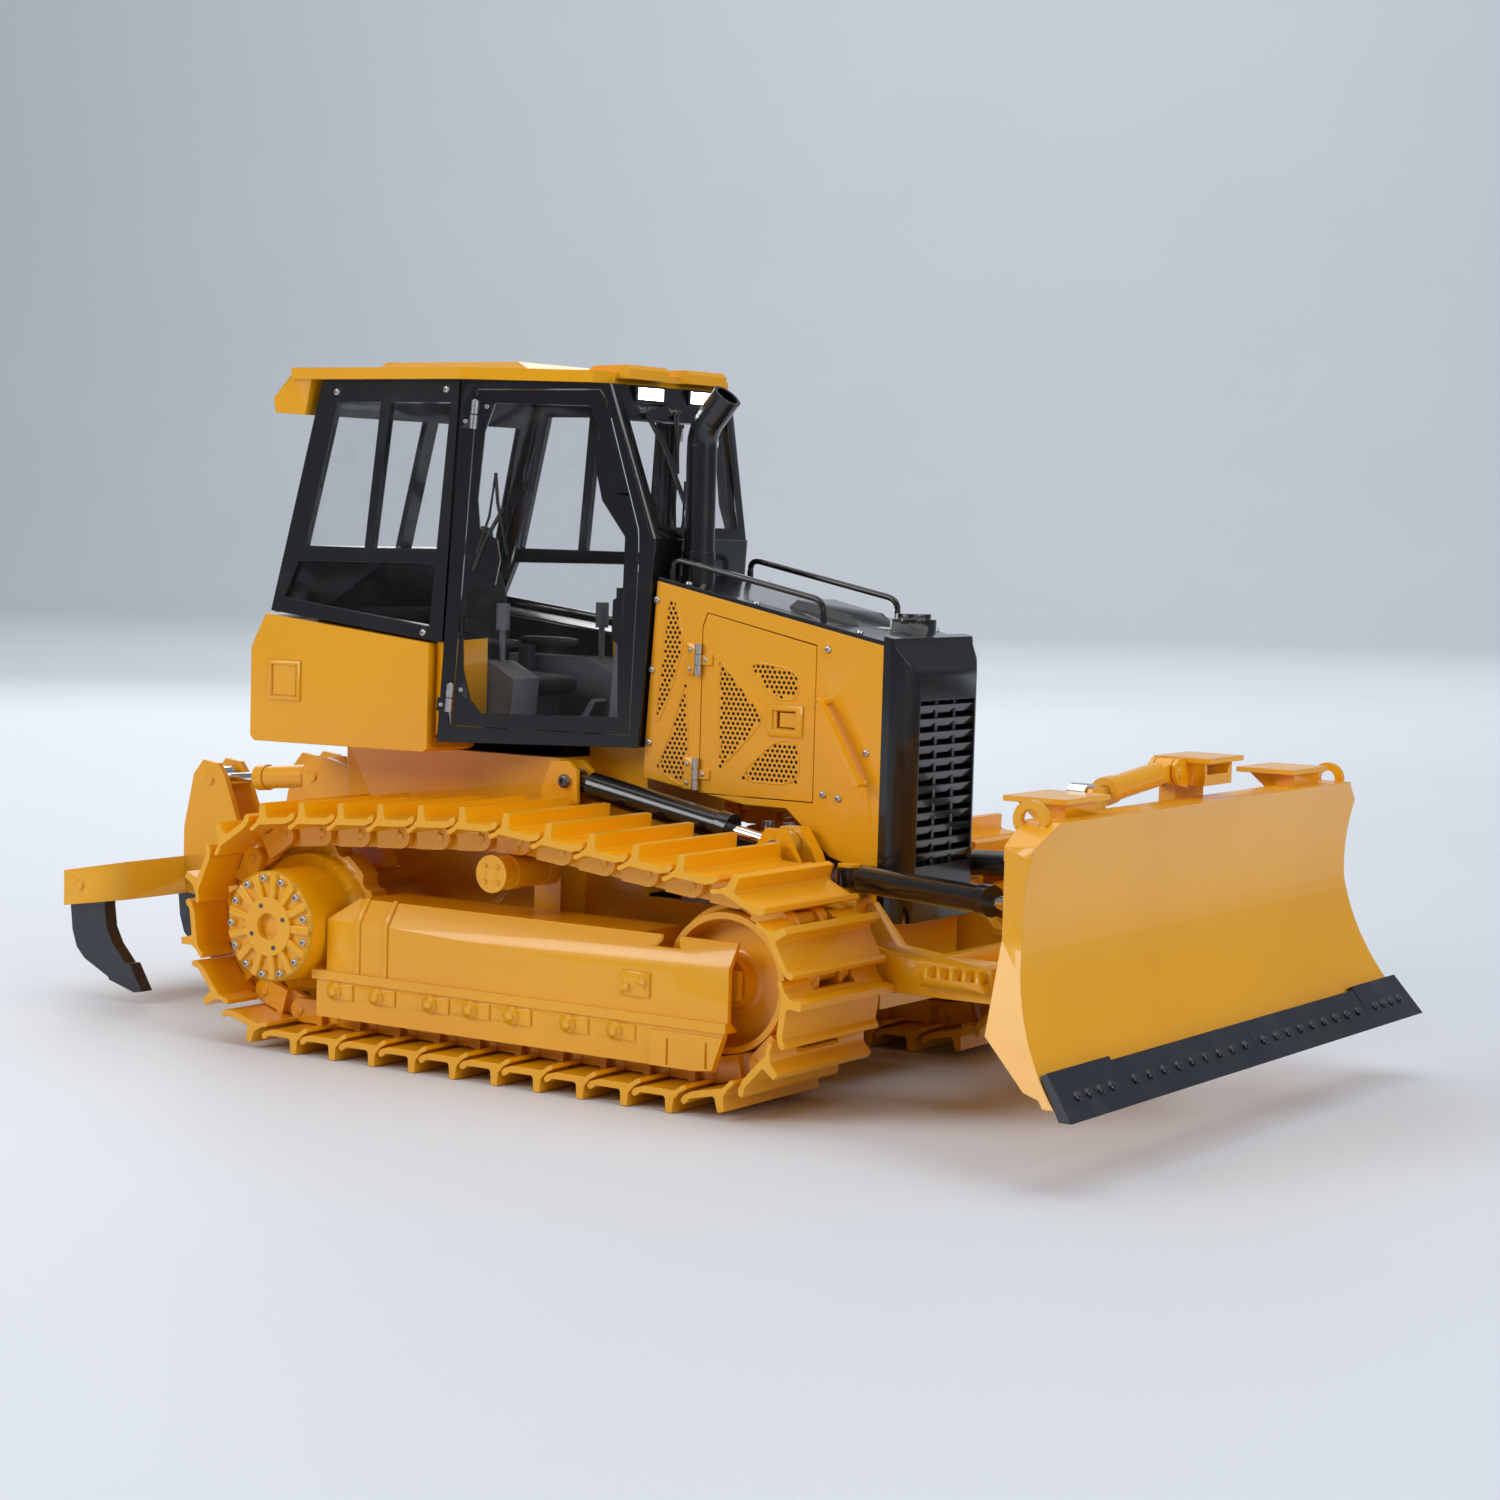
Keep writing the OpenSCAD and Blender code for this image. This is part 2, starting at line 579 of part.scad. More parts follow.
module hood_rails() {
    color(black) both() {
        for (x = [18, 84]) {
            bar_z(x, -hood_y + 2.5, hood_line(x) + 0.2, hood_line(x) + 9.4, 1.2);
            translate([x, -hood_y + 2.5, hood_line(x) + 9.4]) sphere(1.2, $fn = 24);
        }
        plate_y(-hood_y + 1.3, -hood_y + 3.7) slot_2d([18, hood_line(18) + 9.4],
            [84, hood_line(84) + 9.4], 1.2);
    }
}

// ---- Cab ------------------------------------------------------------------------
lean = 1.5;
foot_y = cab_y + 1.7;
// Right side wall: X along the cab, Z up, and Y = 0 is its outer face
module side_plane() {
    translate([0, -foot_y, floor_z]) rotate([-lean, 0, 0]) translate([0, 0, -floor_z])
        children();
}
// Right door opening: X forwards along the door, and Y = 0 is its outer face
module door_plane() {
    translate([post_x, -post_y, 0]) rotate([0, 0, door_turn]) children();
}
back_x = -139.8;
back_z = floor_z + 44.6;
back_lean = atan2(22, roof_z - back_z - 1.3);
back_len = norm([22, roof_z - back_z - 1.3]);
module back_plane() {
    translate([back_x, 0, back_z]) rotate([0, back_lean, 0]) children();
}
front_lean = atan2(15, roof_z - sill_z);
front_len = norm([15, roof_z - sill_z]);
module front_plane() {
    translate([nose_x + 2, 0, sill_z]) rotate([0, -front_lean, 0]) children();
}
// A plate drawn in Y and Z that stands between x0 and x1
module plate_x(x0, x1) {
    translate([x0, 0, 0]) rotate([90, 0, 90]) linear_extrude(x1 - x0) children();
}
head_z = roof_z - 8.5;
mid_z = floor_z + 70;
module rear_quarter_2d() {
    polygon([[-94, mid_z], [-123.5, mid_z], [-109.7, head_z], [-88.5, head_z]]);
}
module front_quarter_2d() {
    polygon([[-59.2, mid_z], [-90, mid_z], [-83.7, head_z], [-55, head_z]]);
}
module low_quarter_2d() {
    polygon([[-61.4, floor_z + 41.5], [-133.2, floor_z + 50], [-126.5, mid_z - 6],
        [-59.6, mid_z - 5]]);
}
module door_2d() {
    polygon([[1.6, floor_z + 5.4], [8.7, roof_z - 3.8], [53.7, roof_z - 2.6],
        [56, roof_z - 6.2], [68.9, sill_z + 3.5], [69.2, sill_z - 7.5],
        [67.1, floor_z + 3.7]]);
}
module door_window_2d() {
    polygon([[12, floor_z + 10], [63, floor_z + 10], [62.4, floor_z + 37],
        [60, floor_z + 39], [60.3, sill_z - 22.5], [63.8, sill_z - 20.5],
        [64.2, sill_z + 0.8], [55.4, sill_z + 14], [51, head_z - 15], [54.1, head_z - 11.3],
        [50.3, head_z], [15.1, head_z], [11.6, sill_z + 38], [9.5, sill_z + 13],
        [10.5, sill_z + 2.6], [16.9, sill_z - 1.6], [18.2, sill_z - 9],
        [16.5, sill_z - 18.2], [7.3, sill_z - 20.3], [4.8, sill_z - 24],
        [5.4, floor_z + 26], [8.1, floor_z + 15]]);
}
module screen_2d() {
    polygon([[-26, 5], [26, 5], [32.6, front_len - 13], [-32.6, front_len - 13]]);
}
module back_window_2d(side) {
    mirror([side, 0]) polygon([[3.5, 26], [60, 26], [57, back_len - 12],
        [3.5, back_len - 12]]);
}
hinge_lean = 3.87;
hinge_zs = [floor_z + 10.4, roof_z - 18];
function hinge_u(z) = 0.6 + tan(hinge_lean) * (z - floor_z - 15);
knuckle = 5;
// Puts its child on the door's hinge line, Z along the hinge, at height z
module on_hinge(z) {
    translate([hinge_u(z), -1.5, z]) rotate([0, hinge_lean, 0]) children();
}
module cab_frame() {
    sill_w = nose_y - 1;
    color(black) {
        both() {
            side_plane() plate_y(0, sheet_t + 0.8) difference() {
                polygon([[-57.5, floor_z + 36], [back_x, back_z], [-117.8, roof_z - 1.3],
                    [-117.8, roof_z], [post_x + 1, roof_z], [post_x - 3, floor_z + 36]]);
                rear_quarter_2d();
                front_quarter_2d();
                low_quarter_2d();
            }
            door_plane() plate_y(0, 4) difference() {
                polygon([[-4, floor_z - 1], [3, roof_z], [57.3, roof_z],
                    [74.2, sill_z], [74.6, cowl_z], [70.9, floor_z - 1]]);
                polygon([[1.2, floor_z + 5], [8.3, roof_z - 3.4], [53.9, roof_z - 2.2],
                    [56.4, roof_z - 6.1], [69.3, sill_z + 3.6], [69.6, sill_z - 7.5],
                    [67.5, floor_z + 3.3]]);
            }
            door_plane() for (z = hinge_zs) on_hinge(z) {
                cylinder(r = 1.5, h = knuckle);
                cylinder(r = 0.7, h = 2 * knuckle + 0.8);
                translate([-4.5, 0.5, 0]) cube([4.5, 1.1, knuckle]);
            }
            // Ledge over the side box, and the wall inside the box
            plate_y(-foot_y + 2, -41) polygon([[back_x + 1, back_z],
                [-57, floor_z + 36], [-57, floor_z + 38], [back_x + 1, back_z + 2]]);
            plate_y(-43, -41) polygon([[back_x + 2, floor_z], [-57, floor_z],
                [-57, floor_z + 37], [back_x + 2, back_z + 1]]);
            box(-59, -56, -67.5, -41, floor_z, floor_z + 37);
        }
        // Floor: narrow between the side boxes, wide between the doors
        translate([0, 0, floor_z - 1]) linear_extrude(3) polygon([
            [back_x + 2, -43], [-58, -43], [-58, -66.5], [post_x - 2, -66.5],
            [nose_x - 3, -nose_y], [nose_x - 3, nose_y], [post_x - 2, 66.5], [-58, 66.5],
            [-58, 43], [back_x + 2, 43]]);
        box(-117, -20, -38, 38, 111.02, floor_z);
        back_plane() plate_x(0, 2.6) difference() {
            polygon([[-68.8, 0], [68.8, 0], [66.6, back_len], [-66.6, back_len]]);
            back_window_2d(0);
            back_window_2d(1);
        }
        box(back_x + 1, back_x + 3.6, -43, 43, floor_z - 1, back_z + 0.6);
        difference() {
            front_plane() plate_x(-3, 0) difference() {
                polygon([[-sill_w, 0], [sill_w, 0], [39.3, front_len], [-39.3, front_len]]);
                screen_2d();
            }
            both() box(-9, 2, -pod_y[1] - 0.1, -pod_y[0] + 0.1, roof_z - 6.6, roof_z + 1);
        }
        plate_y(-nose_y, nose_y) polygon([[nose_x - 5.6, floor_z - 1],
            [nose_x - 3, floor_z - 1], [nose_x + 2, sill_z + 0.5], [nose_x - 0.8, sill_z + 0.5]]);
        // Wiper on the front screen: two feet on the header, two arms and a blade
        front_plane() {
            for (y = [-23, -3]) bar_x(y, front_len - 10, -0.5, 1.8, 1.3);
            plate_x(0.7, 1.8) {
                slot_2d([-23, front_len - 10], [-10, 26], 0.9);
                slot_2d([-3, front_len - 10], [-10, 26], 0.8);
                slot_2d([-16, 38], [-8, 12], 0.9);
            }
        }
    }
}
module cab_windows() {
    color("lightblue", 0.4) {
        both() side_plane() plate_y(0.8, 0.8 + glass_t) {
            rear_quarter_2d();
            front_quarter_2d();
            low_quarter_2d();
        }
        back_plane() plate_x(0.7, 0.7 + glass_t) {
            back_window_2d(0);
            back_window_2d(1);
        }
        front_plane() plate_x(-1 - glass_t, -1) screen_2d();
    }
}
module cab_door(left) {
    color(black) hand(left) door_plane() {
        difference() {
            plate_y(0, door_t) difference() {
                door_2d();
                door_window_2d();
            }
            // Sunk handle behind the window's front edge
            box(60.6, 65.6, -1, 1, sill_z + 16, sill_z + 17);
        }
        box(61.6, 64.6, -0.9, 0, floor_z + 42, floor_z + 58);
        difference() {
            for (z = hinge_zs) on_hinge(z + (knuckle + 0.4) * cos(hinge_lean)) {
                cylinder(r = 1.5, h = knuckle);
                translate([0, 0.5, 0]) cube([5.5, 0.95, knuckle]);
                translate([2.2, 1, 0]) cube([3.3, 0.6, knuckle]);
            }
            on_hinge(floor_z) cylinder(r = 0.7 + run_gap, h = cab_h + 10);
        }
    }
}
module door_glass(left) {
    color("lightblue", 0.4) hand(left) door_plane()
        plate_y(0.6, 0.6 + glass_t) door_window_2d();
}
pod_y = [7.5, 27];
module cab_roof() {
    z = roof_z + 0.05;
    color(yellow) {
        translate([0, 0, z]) linear_extrude(4.4) polygon([[-131, -70], [-49, -70],
            [-7, -44.5], [-5, -34], [-5, 34], [-7, 44.5], [-49, 70], [-131, 70]]);
        plate_y(-52, 52) polygon([[-104, z + 4], [-99, z + 7.2], [-36, z + 7.2],
            [-30, z + 4]]);
        // Box over the rear window
        difference() {
            plate_y(-68.5, 68.5) polygon([[-121.8, z + 1], [-131, z + 3],
                [-141, z - 7], [-140, z - 12.6], [-125, z - 13.4]]);
            plate_y(-65, 65) polygon([[-124.5, z - 5], [-137, z - 8],
                [-136.6, z - 14], [-126, z - 14]]);
        }
        both() plate_y(-pod_y[1] - 5, -pod_y[0] + 1.2) polygon([[-20, z + 4], [-16, z + 6.8],
            [-1, z + 7.2], [0.5, z + 5.6], [0.5, z + 2], [-8, z + 2]]);
    }
}
module work_lights() {
    both() {
        color(black) difference() {
            box(-7.5, 0, -pod_y[1], -pod_y[0], roof_z - 6.5, roof_z);
            box(-5, 1, -pod_y[1] + 1.6, -pod_y[0] - 1.6, roof_z - 5.2, roof_z - 0.9);
        }
        color("white") box(-4.95, -0.4, -pod_y[1] + 1.65, -pod_y[0] - 1.65,
            roof_z - 5.15, roof_z - 0.95);
    }
}
module side_boxes() {
    gap = 0.25;
    color(yellow) both() {
        difference() {
            plate_y(-foot_y - 0.6, -43.2) polygon([[back_x - 1, back_z - gap - 1],
                [-60, floor_z + 35.7 - gap], [-60, floor_z - 4], [-62, floor_z - 5.2],
                [-146, floor_z - 6], [-148, floor_z - 4], [-148, floor_z + 30],
                [-146, floor_z + 34]]);
            plate_y(-foot_y + 1.8, -42) polygon([[back_x - 1, back_z - 5],
                [-62.5, floor_z + 30], [-62.5, floor_z - 3], [-145, floor_z - 4],
                [-145, floor_z + 30]]);
        }
        box(-136, -125, -foot_y - 1, -foot_y - 0.6, floor_z + 12.5, floor_z + 24);
        plate_y(-foot_y - 1.4, -foot_y - 0.6) difference() {
            translate([-138.5, floor_z + 10.5]) square([16, 15]);
            translate([-137, floor_z + 12]) square([13, 12]);
        }
    }
}
module fuel_tank() {
    color(yellow) difference() {
        plate_y(-43, 43) polygon([[-139.5, floor_z + 36], [-146, floor_z + 34],
            [-148, floor_z + 30], [-148, floor_z - 4], [-146, floor_z - 6],
            [-139.5, floor_z - 5.7]]);
        bar_x(20, floor_z + 18, -149, -147, 7);
    }
    color(black) bar_x(20, floor_z + 18, -147, -144, 6.6);
}

// ---- Inside the cab -----------------------------------------------------------
seat_x = -92;
deck_z = floor_z + 2;
module operator_seat() {
    color(black) {
        box(seat_x + 4, seat_x + 32, -11, 11, deck_z, deck_z + 12);
        plate_y(-15, 15) polygon([[seat_x + 4, deck_z + 12], [seat_x + 40, deck_z + 12],
            [seat_x + 42, deck_z + 18], [seat_x + 38, deck_z + 21], [seat_x + 7, deck_z + 19]]);
        plate_y(-14, 14) polygon([[seat_x + 8, deck_z + 18], [seat_x + 1, deck_z + 62],
            [seat_x - 5, deck_z + 63], [seat_x - 3, deck_z + 18]]);
        plate_y(-8, 8) polygon([[seat_x + 1, deck_z + 64.5], [seat_x, deck_z + 77],
            [seat_x - 4, deck_z + 78], [seat_x - 6, deck_z + 64]]);
        both() bar_z(seat_x - 2, -4, deck_z + 60, deck_z + 68, 0.9);
        both() box(seat_x + 6, seat_x + 34, -21, -16.2, deck_z + 30, deck_z + 34);
        both() box(seat_x + 6, seat_x + 12, -21, -16.2, deck_z + 14, deck_z + 30);
        both() box(seat_x + 6, seat_x + 12, -17, -10, deck_z + 14, deck_z + 18);
    }
}
module cab_console() {
    color("dimgray") {
        both() plate_y(-40, -24) polygon([[-100, deck_z], [-46, deck_z], [-44, deck_z + 20],
            [-56, deck_z + 26], [-100, deck_z + 26]]);
        plate_y(-22, 22) polygon([[nose_x - 24, deck_z], [nose_x - 7, deck_z],
            [nose_x - 4, sill_z - 14], [nose_x - 12, sill_z - 12], [nose_x - 20, sill_z - 26]]);
    }
    color(black) {
        // Joysticks on the side consoles and pedals on the floor
        both() {
            bar_z(-56, -32, deck_z + 25, deck_z + 40, 1.2);
            bar_z(-56, -32, deck_z + 38, deck_z + 48, 2.6);
            plate_y(-19, -11) polygon([[-32, deck_z], [-28, deck_z], [-21, deck_z + 12],
                [-23, deck_z + 13]]);
        }
    }
}
module battery_pack() {
    color("royalblue") box(-84, -34, -30, 30, belly_z + 4, belly_z + 30);
    color(black) {
        box(-34, -31, -8, 8, belly_z + 12, belly_z + 22);
        for (x = [-76, -50]) difference() {
            box(x, x + 8, -31, 31, belly_z + 4, belly_z + 31);
            box(x - 1, x + 9, -30, 30, belly_z + 3, belly_z + 30);
        }
    }
}
module drive_motors() {
    color(steel) both() {
        bar_y(sprocket_x, sprocket_z, -40, -26, 12.5);
        bar_y(sprocket_x, sprocket_z, -26, -6, 10.5);
        bar_y(sprocket_x, sprocket_z, -6, -4, 3);
    }
}
module hydraulic_pump() {
    color(steel) {
        box(26, 92, -26.5, 26.5, 60, 62);
        bar_x(-10, 74, 30, 56, 11);
        box(56, 74, -19, -1, 63, 85);
        box(56, 74, -12, -8, 61.9, 63.2);
        for (i = [0:3]) box(34 + i * 9, 42 + i * 9, 6, 20, 62, 80);
        for (i = [0:3]) bar_z(38 + i * 9, 13, 80, 88, 2.4);
        box(80, 91, -22, 22, 62, 92);
        bar_z(85.5, 12, 92, 96, 4);
    }
}
module body_screws() {
    color(steel) both() {
        for (p = [[13, 171], [11.5, 145], [11, 118], [88, 156], [105, 120], [87.5, 104],
                [94, 103]])
            bar_y(p[0], p[1], -hood_y - 0.8, -hood_y, 1.3);
        side_plane() for (p = [[-110, roof_z - 4.6], [-57, roof_z - 3.6],
                [-64, floor_z + 39.2]])
            bar_y(p[0], p[1], -0.8, 0, 1.2);
        for (x = [26, 56, 100]) bar_z(x, -hood_y + 1.6, hood_line(x) + 1.85, hood_line(x) + 2.9, 1.2);
    }
}

// ---- Cylinders --------------------------------------------------------------------
eye_w = 3.2;
eye_r = 4.4;
// A barrel that starts at its eye and runs along X, with the eye's bore along Y
module barrel(len, r) {
    difference() {
        union() {
            bar_y(0, 0, -eye_w, eye_w, eye_r);
            box(0, 9, -eye_w, eye_w, -2.8, 2.8);
            bar_x(0, 0, 8.5, len, r);
            bar_x(0, 0, len - 5, len, r + 0.6);
        }
        bar_y(0, 0, -eye_w - 1, eye_w + 1, hinge_d / 2 + run_gap);
        bar_x(0, 0, 11, len + 1, rod_d / 2 + run_gap);
    }
}
// A rod that ends in an eye at the origin and runs back along -X
module rod(len) {
    difference() {
        union() {
            bar_y(0, 0, -eye_w, eye_w, eye_r + 1);
            bar_x(0, 0, -len, 0, rod_d / 2);
        }
        bar_y(0, 0, -eye_w - 1, eye_w + 1, hinge_d / 2 + open_gap);
    }
}
function span(a, b) = norm(b - a);
// Turns its child about Y so that it points from a to b, both [x, z]
module aim_y(a, b) {
    rotate([0, -atan2(b[1] - a[1], b[0] - a[0]), 0]) children();
}
lift_span = span(lift_foot, lift_head);
module lift_barrels() {
    color(black) both() translate([lift_foot[0], -cyl_y, lift_foot[1]])
        aim_y(lift_foot, lift_head) barrel(lift_span - 22.5, barrel_d / 2);
}
module lift_rods() {
    color(steel) both() translate([lift_head[0], -cyl_y, lift_head[1]])
        aim_y(lift_foot, lift_head) rod(lift_span - 24);
}
angle_span = span(angle_foot, angle_head);
module aim_z() {
    d = angle_head - angle_foot;
    rotate([0, 0, atan2(d[1], d[0])]) rotate([90, 0, 0]) children();
}
module angle_barrel(left) {
    color(black) hand(left) translate([angle_foot[0], angle_foot[1], angle_z])
        aim_z() barrel(angle_span - 32, 4.8);
}
module angle_rod(left) {
    color(steel) hand(left) translate([angle_head[0], angle_head[1], angle_z])
        aim_z() rod(angle_span - 36);
}
tilt_span = span(tilt_foot, tilt_head);
module aim_tilt() {
    d = tilt_head - tilt_foot;
    rotate([atan2(d[1], -d[0]) * -1, 0, 0]) rotate([0, 0, -90]) children();
}
module tilt_barrel() {
    color(yellow) translate([tilt_x, tilt_foot[0], tilt_foot[1]])
        aim_tilt() barrel(tilt_span - 16, 4.2);
}
module tilt_rod() {
    color(steel) translate([tilt_x, tilt_head[0], tilt_head[1]])
        aim_tilt() rod(tilt_span - 30);
}
rip_span = span(rip_foot, rip_head);
module ripper_barrels() {
    color(yellow) both() translate([rip_foot[0], -rip_y, rip_foot[1]])
        aim_y(rip_foot, rip_head) barrel(rip_span - 20, 4.6);
}
module ripper_rods() {
    color(steel) both() translate([rip_head[0], -rip_y, rip_head[1]])
        aim_y(rip_foot, rip_head) rod(rip_span - 23);
}

// ---- Blade and its frame -------------------------------------------------------------
arm_in = 31.5;
arm_out = 38;
fork_out = cyl_y + 3.6;
pivot_r = hinge_d / 2 + 1.5;
module c_frame() {
    color(yellow) {
        both() {
            // Arm, from the pivot to the front beam, with the lift lug on top
            difference() {
                plate_y(-arm_out, -arm_in) polygon([[c_pivot[0], 34], [112, 36], [144, 40],
                    [144, 52], [126, 54], [114, 68], [96, 70], [90, 84], [84, 92.5],
                    [76, 92.5], [70, 82], [62, 60], [40, 52], [c_pivot[0], 50]]);
                bar_y(c_pivot[0], c_pivot[1], -40, -30, pivot_r + run_gap);
            }
            difference() {
                bar_y(c_pivot[0], c_pivot[1], -arm_out, -arm_in, 8);
                bar_y(c_pivot[0], c_pivot[1], -40, -30, pivot_r + run_gap);
            }
            plate_y(-fork_out - 2.4, -fork_out) polygon([[66, 37], [134, 40], [134, 52],
                [118, 56], [112, 66], [95, 68], [90, 82], [84, 92.5], [76, 92.5], [70, 82],
                [64, 62]]);
            box(66, 134, -fork_out, -arm_out, 40, 52);
            box(95.5, 113, -fork_out, -arm_in, 52, angle_z - 3.6 - 2);
            bar_z(angle_foot[0], angle_foot[1], angle_z - 5.6, angle_z + 3.9, hinge_d / 2);
            bar_z(angle_foot[0], angle_foot[1], angle_z + 3.5, angle_z + 4.6, hinge_d / 2 + 2);
            bar_z(angle_foot[0], angle_foot[1], angle_z - 5.7, angle_z - 3.5, 4);
            bar_y(lift_head[0], lift_head[1], -fork_out - 3.2, -arm_in, hinge_d / 2);
            // Steps on the side of the beam
            for (i = [0:4]) box(146 + i * 5, 148.6 + i * 5, -54.5, -50.5, 47, 51);
            box(145, 170, -54.5, -50.5, 44, 47);
        }
        difference() {
            translate([0, 0, 40]) linear_extrude(12) polygon([[126, -fork_out - 2.4],
                [138, -51], [171, -51], [184, -14], [184, 14], [171, 51], [138, 51],
                [126, fork_out + 2.4], [126, arm_in], [140, 28], [140, -28], [126, -arm_in]]);
            box(146, 172, -34, 34, 45, 53);
        }
        difference() {
            bar_z(swivel_x, 0, 42.4, 49.6, 8.5);
            bar_z(swivel_x, 0, 40, 51, 3 + run_gap);
        }
        difference() {
            box(176, swivel_x, -7, 7, 42.4, 49.6);
            bar_z(swivel_x, 0, 40, 51, 3 + run_gap);
        }
    }
}
tower_y = [3, 26];
module swivel_beam() {
    color(yellow) {
        bar_z(swivel_x, 0, 34, 58, 3);
        for (z = [36, 50]) {
            bar_z(swivel_x, 0, z, z + 6, 9);
            box(swivel_x, 206, -9, 9, z, z + 6);
        }
        box(205.2, 210, -20, 20, 36, 56);
        box(205.2, 210, -84, 84, 45, 55);
        bar_x(0, swivel_z, 209, 222, 5);
        both() {
            box(205.2, 210, -82, -70, 54, angle_z - 5.8);
            box(200, 211.6, angle_head[1] - 6, angle_head[1] + 6, angle_z - 7,
                angle_z - 3.6);
            bar_z(angle_head[0], angle_head[1], angle_z - 4, angle_z + 5, hinge_d / 2);
            bar_z(angle_head[0], angle_head[1], angle_z + 3.6, angle_z + 5, hinge_d / 2 + 2.6);
        }
        // Tower that carries the tilt cylinder above the blade
        box(204.5, 210.5, tower_y[0], tower_y[1], 54, 123);
        difference() {
            box(204.5, 221, tower_y[0], tower_y[1], 114.6, 123);
            box(212, 222, tower_y[0] + 3, tower_y[1] - 3, 118.4, 121.6);
        }
        box(203, 224, tower_y[0] - 2, tower_y[1] + 3, 122.5, 124.3);
        for (x0 = [tilt_x - eye_w - 2, tilt_x + eye_w + 0.4]) plate_x(x0, x0 + 1.6)
            polygon([[tower_y[0] + 0.5, 113.5], [tilt_foot[0] - 1, 115], [tilt_foot[0] - 4, 118],
                [tilt_foot[0] - 4, 122], [tilt_foot[0] - 1, 124], [tower_y[0] + 0.5, 124]]);
        bar_x(tilt_foot[0], tilt_foot[1], tilt_x - eye_w - 2.6, tilt_x + eye_w + 2.8,
            hinge_d / 2);
    }
}
// Front outline of the blade in Y and Z: corners cut at the top, flared at the foot
module blade_front_2d() {
    polygon([[-half_w + 1, edge_z + 3], [-half_w + 16, face_z - 6],
        [-half_w + 16, top_z - 7.5], [-half_w + 28, top_z], [half_w - 28, top_z],
        [half_w - 16, top_z - 7.5], [half_w - 16, face_z - 6], [half_w - 1, edge_z + 3]]);
}
// The same outline drawn in by the thickness of the side plates
module blade_inner_2d() {
    t = 2.6;
    polygon([[-half_w + 1 + t, 0], [-half_w + 1 + t, edge_z + 3], [-half_w + 16 + t, face_z - 6],
        [-half_w + 16 + t, top_z - 8.8], [-half_w + 26, top_z + 5], [half_w - 26, top_z + 5],
        [half_w - 16 - t, top_z - 8.8], [half_w - 16 - t, face_z - 6],
        [half_w - 1 - t, edge_z + 3], [half_w - 1 - t, 0]]);
}
module blade_face_2d(grow, z0, z1) {
    difference() {
        intersection() {
            translate([face_x, face_z]) circle(face_r + grow, $fn = 200);
            translate([200, z0]) square([60, z1 - z0]);
        }
        translate([face_x, face_z]) circle(face_r, $fn = 200);
    }
}
// Cuts a section so that it ends inside the curved plate
module behind_face_2d() {
    difference() {
        children();
        translate([face_x, face_z]) circle(face_r + blade_t / 3, $fn = 200);
    }
}
module blade() {
    color(yellow) {
        difference() {
            union() {
                intersection() {
                    plate_x(200, 260) blade_front_2d();
                    plate_y(-half_w, half_w) blade_face_2d(blade_t, edge_z + 3, top_z);
                }
                // Side plates and box sections on the back
                intersection() {
                    plate_x(200, 260) difference() {
                        blade_front_2d();
                        blade_inner_2d();
                    }
                    plate_y(-half_w, half_w) difference() {
                        polygon([[215.5, 45], [232, 30], [246, edge_z + 3], [250, edge_z + 3],
                            [250, top_z], [215.5, top_z]]);
                        translate([face_x, face_z]) circle(face_r, $fn = 200);
                    }
                }
                intersection() {
                    box(215.2, 224.5, -half_w + 16, half_w - 16, top_z - 12, top_z);
                    plate_x(200, 260) blade_front_2d();
                }
                plate_y(-half_w + 16, half_w - 16) behind_face_2d() polygon([[219, 58],
                    [226, 62], [232, 46], [240, 30], [232, 30], [219, 42]]);
                bar_x(0, swivel_z, 211, 224.5, 9);
                both() for (y = [-96, -48]) plate_y(y - 1.5, y + 1.5) behind_face_2d() polygon([
                    [215, 56], [226, 56], [226, top_z - 10], [215, top_z - 10]]);
            }
            bar_x(0, swivel_z, 210, 222.5, 5 + run_gap);
        }
        // Flat pads and eyes on the two top corners
        both() {
            box(201.5, 224, -103.6, -73, 114.8, 116.6);
            box(214.5, 222, -100, -78, top_z - 1, 115);
            for (y = [-98, -82]) plate_y(y, y + 2) polygon([[203, 115], [215, 105],
                [215, 115]]);
            difference() {
                union() {
                    bar_y(219, top_z + 0.5, -118, -115.4, 6);
                    box(214.5, 223.5, -118, -115.4, top_z - 8, top_z);
                }
                bar_y(219, top_z + 0.5, -119, -114, 3.2);
            }
        }
        // Lug for the tilt cylinder
        plate_x(tilt_x + eye_w + 1, tilt_x + eye_w + 3) polygon([
            [tilt_head[0] - 7, top_z - 6], [tilt_head[0] + 7, top_z - 6],
            [tilt_head[0] + 4, 117.5], [tilt_head[0] - 4, 117.5]]);
        box(tilt_x + eye_w + 1, 216, tilt_head[0] - 7, tilt_head[0] + 7, top_z - 10, top_z - 2);
        bar_x(tilt_head[0], tilt_head[1], tilt_x - eye_w - 1.4, tilt_x + eye_w + 2,
            hinge_d / 2);
    }
}
edge_front = 250;
module edge_section(top) {
    polygon([[237.8 - top * 0.5, edge_z + 11.4 + top], [240 - top * 0.6, edge_z + 12.6 + top],
        [edge_front, edge_z], [edge_front - 4.3, edge_z]]);
}
edge_lean = atan2(12.6, edge_front - 240);
module edge_bolt(y) {
    translate([245.1, y, edge_z + 6.4]) rotate([0, 90 - edge_lean, 0])
        cylinder(r1 = 2, r2 = 1.2, h = 0.7);
}
bolt_step = 10.4;
